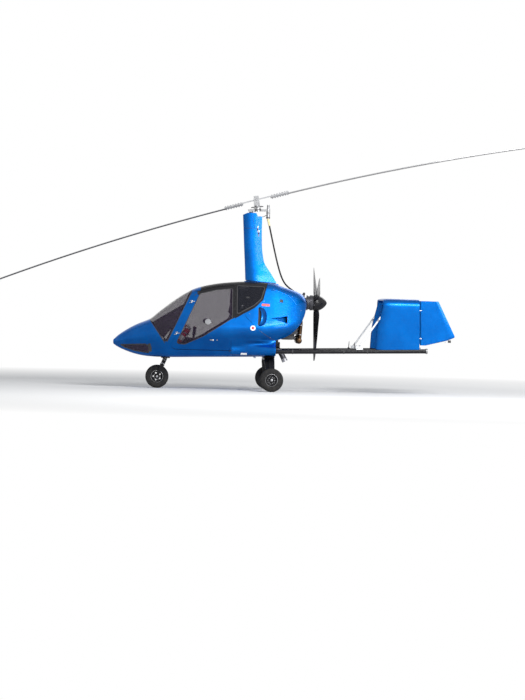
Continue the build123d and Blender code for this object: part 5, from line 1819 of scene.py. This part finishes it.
for side, name in bothSides:
    for source, label, fill in ((cushion, "seat_cushion_", 0.7), (backPad, "seat_back_", 0.7),
                                (headPad, "headrest_", 0.8)):
        pad = padCopy(source, label + name, side * cabin["seatY"])
        finishPiece(pad, "airframe", "cloth",
                    ("seats",) if label == "seat_cushion_" and side < 0 else ())
drop(cushion, backPad, headPad)
print("seats ready")


def strap(name, points, across, width, thick=0.0022):
    # A flat woven strap through points, as wide as given along one direction
    pts = [Vector(p) for p in points]
    rings = []
    for index, p in enumerate(pts):
        along = (pts[min(index + 1, len(pts) - 1)] - pts[max(index - 1, 0)]).normalized()
        out = along.cross(across).normalized()
        half = across.normalized() * (width / 2)
        rings.append([p - half - out * thick / 2, p + half - out * thick / 2, p + half + out * thick / 2,
                      p - half + out * thick / 2])
    return loft(name, rings, angle=60)


def makeSeatTrim():
    parts = Group()
    for side in (-1, 1):
        y = side * cabin["seatY"]
        for dy in (-0.085, 0.085):
            parts.add(strap("shoulder_belt", [at(-0.552, y + dy, 1.16), at(-0.59, y + dy, 1.105),
                                              at(-0.636, y + dy, 1.02), at(-0.668, y + dy * 0.92, 0.9),
                                              at(-0.692, y + dy * 0.85, 0.8),
                                              at(-0.728, y + dy * 0.6, 0.757),
                                              at(-0.8, y + dy * 0.35, 0.757)], yAxis, 0.045), "belt")
        lap = [at(-0.7, y - 0.212, 0.7), at(-0.715, y - 0.215, 0.745), at(-0.75, y - 0.17, 0.762),
               at(-0.8, y - 0.06, 0.765), at(-0.8, y + 0.06, 0.765), at(-0.75, y + 0.17, 0.762),
               at(-0.715, y + 0.215, 0.745), at(-0.7, y + 0.212, 0.7)]
        parts.add(strap("lap_belt", lap, Vector((1, 0, 0.05)), 0.045), "belt")
        parts.add(boxPiece("buckle", at(-0.832, y - 0.028, 0.764), at(-0.776, y + 0.028, 0.778), 0.004),
                  "steel")
        parts.add(boxPiece("release", at(-0.816, y - 0.016, 0.777), at(-0.794, y + 0.016, 0.782), 0.003),
                  "red")
        for dy in (-0.07, 0.07):
            parts.add(bar("headrest_post", at(-0.578, y + dy, 1.06), at(-0.572, y + dy, 1.13), 0.006, 14),
                      "steel")
        shellRings = []
        for aft, z, half in ((-0.552, 1.275, 0.1), (-0.556, 1.2, 0.135), (-0.56, 1.09, 0.18),
                             (-0.59, 0.9, 0.2), (-0.64, 0.7, 0.205)):
            ring = []
            for share in (-1, -0.96, -0.5, 0, 0.5, 0.96, 1):
                ring.append(at(aft - (0.012 if abs(share) > 0.9 else 0.0), y + share * half, z))
            for share in (1, 0.96, 0.5, 0, -0.5, -0.96, -1):
                ring.append(at(aft + 0.006 - (0.012 if abs(share) > 0.9 else 0.0), y + share * half, z))
            shellRings.append(ring)
        parts.add(loft("seat_shell", shellRings, angle=40), "trim")
    parts.finish("seat_trim", "airframe")


makeSeatTrim()

dials = [
    # across, share down the face, radius
    (-0.36, 0.3, 0.034), (-0.27, 0.3, 0.034), (-0.36, 0.74, 0.028), (-0.27, 0.74, 0.028), (0.0, 0.76, 0.024),
    (0.065, 0.76, 0.024), (-0.065, 0.76, 0.024), (0.27, 0.3, 0.034), (0.36, 0.3, 0.034), (0.27, 0.74, 0.028),
    (0.36, 0.74, 0.028),
]
dash = {"faceTop": (-1.352, 1.165), "faceLow": (-1.408, 0.985), "dials": dials}


def makeDash():
    top, low = at(dash["faceTop"][0], 0, dash["faceTop"][1]), at(dash["faceLow"][0], 0, dash["faceLow"][1])
    down = (low - top).normalized()
    normal = Vector((-down.z, 0, down.x)) if -down.z > 0 else Vector((down.z, 0, -down.x))
    long = (low - top).length
    parts = Group()

    def spot(y, share, lift=0.0):
        return top + down * (long * share) + Vector((0, y, 0)) + normal * lift

    for y, share, radius in dash["dials"]:
        base = spot(y, share)
        parts.add(lathe("bezel", [(-0.002, radius), (0.005, radius), (0.0075, radius - 0.002),
                                  (0.0075, radius - 0.005), (0.004, radius - 0.006)], base, normal, 36, 30,
                        True), "plastic")
        parts.add(lathe("face", [(0.0035, radius - 0.0055), (0.004, radius - 0.0058), (0.004, 0.0008)], base,
                        normal, 32), "screen")
        for index in range(9):
            turn = math.radians(-130 + 32.5 * index)
            out = yAxis * math.sin(turn) - down * math.cos(turn)
            a = base + normal * 0.0046 + out * (radius * 0.58)
            parts.add(bar("mark", a, a + out * radius * 0.16, 0.0009, 5), "dialMark")
        turn = math.radians(-100 + 37 * (len(parts.parts) % 5))
        out = yAxis * math.sin(turn) - down * math.cos(turn)
        parts.add(bar("needle", base + normal * 0.0056, base + normal * 0.0056 + out * radius * 0.55, 0.0012,
                      6, 0.0005), "dialMark")
        for dy, ds in ((-1, -1), (1, -1), (-1, 1), (1, 1)):
            corner = base + Vector((0, dy, 0)) * radius * 0.86 + down * (ds * radius * 0.86)
            parts.add(bar("screw", corner, corner + normal * 0.002, 0.0028, 10), "steel")
    # A wide screen in the middle, with knobs below the dials
    rings = []
    for dy, ds, lift in ((1.0, 1.0, 0.0), (1.0, 1.0, 0.007), (0.97, 0.95, 0.009), (0.93, 0.88, 0.009),
                         (0.92, 0.87, 0.006)):
        half, tall = 0.115 * dy, 0.052 * ds
        rings.append([spot(y * half, 0.3) + down * (s * tall) + normal * lift
                      for y, s in ((-1, -1), (1, -1), (1, 1), (-1, 1))])
    parts.add(loft("screen_frame", rings, angle=30), "plastic")
    rings = [[spot(y * 0.105, 0.3) + down * (s * 0.045) + normal * lift
              for y, s in ((-1, -1), (1, -1), (1, 1), (-1, 1))] for lift in (0.005, 0.0065)]
    parts.add(loft("screen_glass", rings), "screen")
    for index in range(8):
        y = -0.155 + 0.045 * index if index < 4 else 0.02 + 0.045 * (index - 4)
        base = spot(y, 0.97)
        parts.add(lathe("knob", [(0, 0.006), (0.004, 0.006), (0.005, 0.0095), (0.016, 0.0085),
                                 (0.017, 0.007), (0.017, 0.001)], base, normal, 20),
                  "red" if index == 6 else "plastic")
    # Hood above the panel, as wide as the cabin
    tool = prism("tool_hood", [(-1.752, 0.962), (-1.3, 1.24), (-1.286, 1.236), (-1.289, 1.222),
                               (-1.352, 1.166), (-1.735, 0.94)])
    hood = carve(copyOf(inner, "hood"), tool, "INTERSECT")
    drop(tool)
    parts.add(hood, "trim")
    # Side cheeks close the panel down to the floor, seen dark through the windshield
    tool = prism("tool_cheek", [(-1.735, 0.941), (-1.385, 1.15), (-1.325, 1.19), (-1.4, 0.985),
                                (-1.492, 0.86), (-1.58, 0.745), (-1.67, 0.8)])
    middle = prism("tool_middle", [(-2, 0.5), (-1, 0.5), (-1, 1.5), (-2, 1.5)], -0.36, 0.36)
    cheek = carve(copyOf(inner, "cheek"), tool, "INTERSECT")
    carve(cheek, middle)
    drop(tool, middle)
    parts.add(cheek, "trim")
    parts.finish("dash_panel", "airframe")


makeDash()
dress("dashboard", "plastic")
dress("console", "trim")
dress("cabin_tub", "trim")
dress("controls", "darkSteel")
dress("fire_bottle", "red")


def makeCabinBits():
    parts = Group()
    # Bottle: steel valve head, two levers, gauge, clamping bands and a paper band
    foot, head = at(-1.385, -0.129, 0.655), at(-1.215, -0.129, 0.88)
    along = (head - foot).normalized()
    parts.add(lathe("valve", [(-0.002, 0.03), (0.004, 0.024), (0.01, 0.014), (0.03, 0.013), (0.032, 0.016),
                              (0.042, 0.016), (0.044, 0.002)], head, along, 32), "steel")
    across = along.cross(yAxis).normalized()
    parts.add(bar("lever", head + along * 0.036 - across * 0.01, head + along * 0.052 + across * 0.055,
                  0.0055, 12), "plastic")
    parts.add(bar("lever", head + along * 0.028 - across * 0.01, head + along * 0.024 + across * 0.055,
                  0.0055, 12), "plastic")
    parts.add(bar("gauge", head + along * 0.02 + Vector((0, -0.013, 0)), head + along * 0.02
                  + Vector((0, -0.024, 0)), 0.01, 20), "dialMark")
    for reach in (0.045, 0.2):
        parts.add(lathe("band", [(0, 0.0442), (0.001, 0.0462), (0.017, 0.0462), (0.018, 0.0442)],
                        foot + along * reach, along, 40), "steel")
    parts.add(lathe("paper_band", [(0, 0.0441), (0.0004, 0.0447), (0.07, 0.0447), (0.0704, 0.0441)],
                    foot + along * 0.088, along, 40), "white")
    for side in (-1, 1):
        y = side * cabin["seatY"]
        low, high = at(-1.127, y, 0.8), at(-1.1145, y, 0.914)
        axis = (high - low).normalized()
        parts.add(lathe("grip", [(-0.004, 0.0125), (0.0, 0.0186), (0.012, 0.0192), (0.03, 0.0182),
                                 (0.052, 0.0192), (0.074, 0.0184), (0.095, 0.0196), (0.11, 0.02),
                                 (0.1165, 0.017), (0.118, 0.002)], low, axis, 36), "rubber")
        parts.add(bar("button", high + axis * 0.001, high + axis * 0.008, 0.0055, 18), "red")
        parts.add(lathe("gaiter", [(0.0, 0.042), (0.006, 0.04), (0.012, 0.03), (0.02, 0.034), (0.028, 0.024),
                                   (0.036, 0.027), (0.044, 0.0165), (0.05, 0.0125)], at(-1.15, y, 0.575),
                        zAxis, 36), "rubber")
        for dy in (0.2, 0.37):
            for index in range(5):
                z = 0.656 + 0.017 * index
                parts.add(boxPiece("rib", at(-1.5535, side * dy - 0.034, z),
                                   at(-1.5495, side * dy + 0.034, z + 0.006), 0.001), "rubber")
    # Throttle and brake levers and switches on the console
    for aft, y, knob, lean in ((-1.3, -0.03, "red", 0.05), (-1.3, 0.03, "plastic", -0.02),
                               (-1.22, 0.0, "plastic", 0.03)):
        z = 0.82 if aft < -1.25 else 0.772
        low, high = at(aft, y, z - 0.01), at(aft + lean, y, z + 0.11)
        parts.add(bar("lever", low, high, 0.0055, 14), "steel")
        parts.add(lathe("lever_knob", [(-0.018, 0.008), (-0.012, 0.0155), (0.0, 0.0178), (0.012, 0.0155),
                                       (0.018, 0.002)], high, high - low, 28), knob)
    for index in range(6):
        y = -0.05 + 0.02 * index
        low = at(-1.422, y, 0.948)
        parts.add(boxPiece("switch", low + Vector((-0.008, -0.006, -0.01)),
                           low + Vector((0.01, 0.006, 0.01)), 0.002), "red" if index == 5 else "plastic")
    # Floor mats with raised ribs
    for side in (-1, 1):
        y = side * 0.27
        for index in range(7):
            aft = -1.5 + 0.05 * index
            parts.add(boxPiece("mat_rib", at(aft, y - 0.13, 0.508), at(aft + 0.02, y + 0.13, 0.514), 0.001),
                      "rubber")
    # Dark bay round the mast behind the seats
    tool = prism("tool_bay", [(-0.5, 1.04), (-0.47, 1.49), (-0.08, 1.56), (-0.13, 1.33), (-0.25, 1.2),
                              (-0.39, 1.12)])
    bay = carve(copyOf(inner, "bay"), tool, "INTERSECT")
    drop(tool)
    carve(bay, tools["mast"])
    parts.add(bay, "trim")
    # Small fittings in the bay behind the side windows
    for side in (-1, 1):
        for aft, z, wide, tall, paint in ((-0.44, 1.22, 0.03, 0.07, "steel"),
                                          (-0.36, 1.33, 0.05, 0.1, "plastic"),
                                          (-0.24, 1.38, 0.012, 0.012, "steel"),
                                          (-0.23, 1.42, 0.012, 0.012, "steel"),
                                          (-0.25, 1.34, 0.012, 0.012, "steel")):
            base = skinPoint(side, aft, z)[0] - Vector((0, side * 0.022, 0))
            parts.add(boxPiece("fitting", base - Vector((wide / 2, 0.007, tall / 2)),
                               base + Vector((wide / 2, 0.007, tall / 2)), 0.003), paint)
    parts.finish("cabin_fittings", "airframe")


makeCabinBits()

# Rubber seal in each doorway, inside the gap
for side, name in bothSides:
    seal = ribbon("door_seal_" + name, side, outlines["doorway"], 0.034, 0.004, True, -body["wall"] - 0.002)
    finishPiece(seal, "airframe", "plastic")
# A round air vent in each door window
for side, name in bothSides:
    base, normal = skinPoint(side, -0.94, 1.0)
    vent = lathe("vent", [(-0.004, 0.036), (0.0035, 0.04), (0.0055, 0.043), (0.0065, 0.04), (0.0065, 0.036),
                          (0.004, 0.034), (0.0055, 0.02), (0.0055, 0.001)], base, normal, 44)
    ventParts = Group(painted(vent, "bladePale"))
    ventParts.finish("door_vent_" + name, "door_" + name)
print("cabin ready")

drop(*tools.values(), outer, inner, paneInner, withRoots, shell, pane)


# Floor, background and lamps
studio = {"floorColor": 0.8, "worldLight": 0.38, "floorReach": 16.0}


def makeStage():
    work = bmesh.new()
    bmesh.ops.create_circle(work, cap_ends=True, radius=studio["floorReach"], segments=96)
    mesh = bpy.data.meshes.new("floor")
    work.to_mesh(mesh)
    work.free()
    floor = addObject("floor", mesh)
    n = Nodes("floor_card")
    reach = n.add("ShaderNodeVectorMath", operation="LENGTH")
    n.link(n.coords, reach.inputs[0])
    fade = n.remap(reach.outputs["Value"], 5.5, 13.0, 0, 1)
    grain = n.mix(n.noise(60, 6), (studio["floorColor"],) * 3, (studio["floorColor"] * 1.06,) * 3)
    card = n.add("ShaderNodeBsdfDiffuse")
    n.link(grain, card.inputs["Color"])
    glow = n.add("ShaderNodeEmission")
    path = n.add("ShaderNodeLightPath")
    seen = n.math("MAXIMUM", path.outputs["Is Camera Ray"], path.outputs["Is Glossy Ray"])
    seen = n.math("MAXIMUM", seen, path.outputs["Is Transmission Ray"])
    share = n.math("MULTIPLY", fade, seen)
    under = n.add("ShaderNodeNewGeometry").outputs["Backfacing"]
    both = n.add("ShaderNodeMixShader")
    n.link(share, both.inputs[0])
    n.link(card.outputs[0], both.inputs[1])
    n.link(glow.outputs[0], both.inputs[2])
    clear = n.add("ShaderNodeBsdfTransparent")
    last = n.add("ShaderNodeMixShader")
    n.link(under, last.inputs[0])
    n.link(both.outputs[0], last.inputs[1])
    n.link(clear.outputs[0], last.inputs[2])
    n.link(last.outputs[0], n.output.inputs["Surface"])
    mesh.materials.append(n.material)
    world = bpy.data.worlds.new("studio")
    bpy.context.scene.world = world
    world.use_nodes = True
    tree = world.node_tree
    tree.nodes.clear()
    out = tree.nodes.new("ShaderNodeOutputWorld")
    path = tree.nodes.new("ShaderNodeLightPath")
    lit = tree.nodes.new("ShaderNodeBackground")
    lit.inputs["Strength"].default_value = studio["worldLight"]
    shown = tree.nodes.new("ShaderNodeBackground")
    shown.inputs["Color"].default_value = (1, 1, 1, 1)
    shown.inputs["Strength"].default_value = 1
    lit.inputs["Color"].default_value = (0.93, 0.96, 1, 1)
    first = tree.nodes.new("ShaderNodeMath")
    first.operation = "MAXIMUM"
    second = tree.nodes.new("ShaderNodeMath")
    second.operation = "MAXIMUM"
    mixed = tree.nodes.new("ShaderNodeMixShader")
    tree.links.new(path.outputs["Is Camera Ray"], first.inputs[0])
    tree.links.new(path.outputs["Is Glossy Ray"], first.inputs[1])
    tree.links.new(first.outputs[0], second.inputs[0])
    tree.links.new(path.outputs["Is Transmission Ray"], second.inputs[1])
    tree.links.new(second.outputs[0], mixed.inputs[0])
    tree.links.new(lit.outputs[0], mixed.inputs[1])
    tree.links.new(shown.outputs[0], mixed.inputs[2])
    tree.links.new(mixed.outputs[0], out.inputs["Surface"])


def makeLamp(name, spot, target, size, power, shine=True):
    data = bpy.data.lights.new(name, "AREA")
    data.shape = "RECTANGLE"
    data.size, data.size_y = size
    data.energy = power
    lamp = bpy.data.objects.new(name, data)
    lamp.location = spot
    lamp.rotation_euler = (Vector(target) - Vector(spot)).to_track_quat("-Z", "Y").to_euler()
    lamp.visible_glossy = shine
    bpy.context.scene.collection.objects.link(lamp)


makeStage()
makeLamp("key", (4.2, -9.0, 6.8), (0.4, 0, 1.2), (5.5, 3.2), 1050)
makeLamp("side", (7.0, -10.5, 3.4), (0.8, 0, 1.1), (4, 3), 420)
makeLamp("front", (-8.0, -5.0, 6.0), (0, 0, 1.0), (5, 4), 120, shine=False)
makeLamp("rear", (6.0, 8.0, 7.0), (0, 0, 1.0), (8, 4), 320)
print("stage ready")
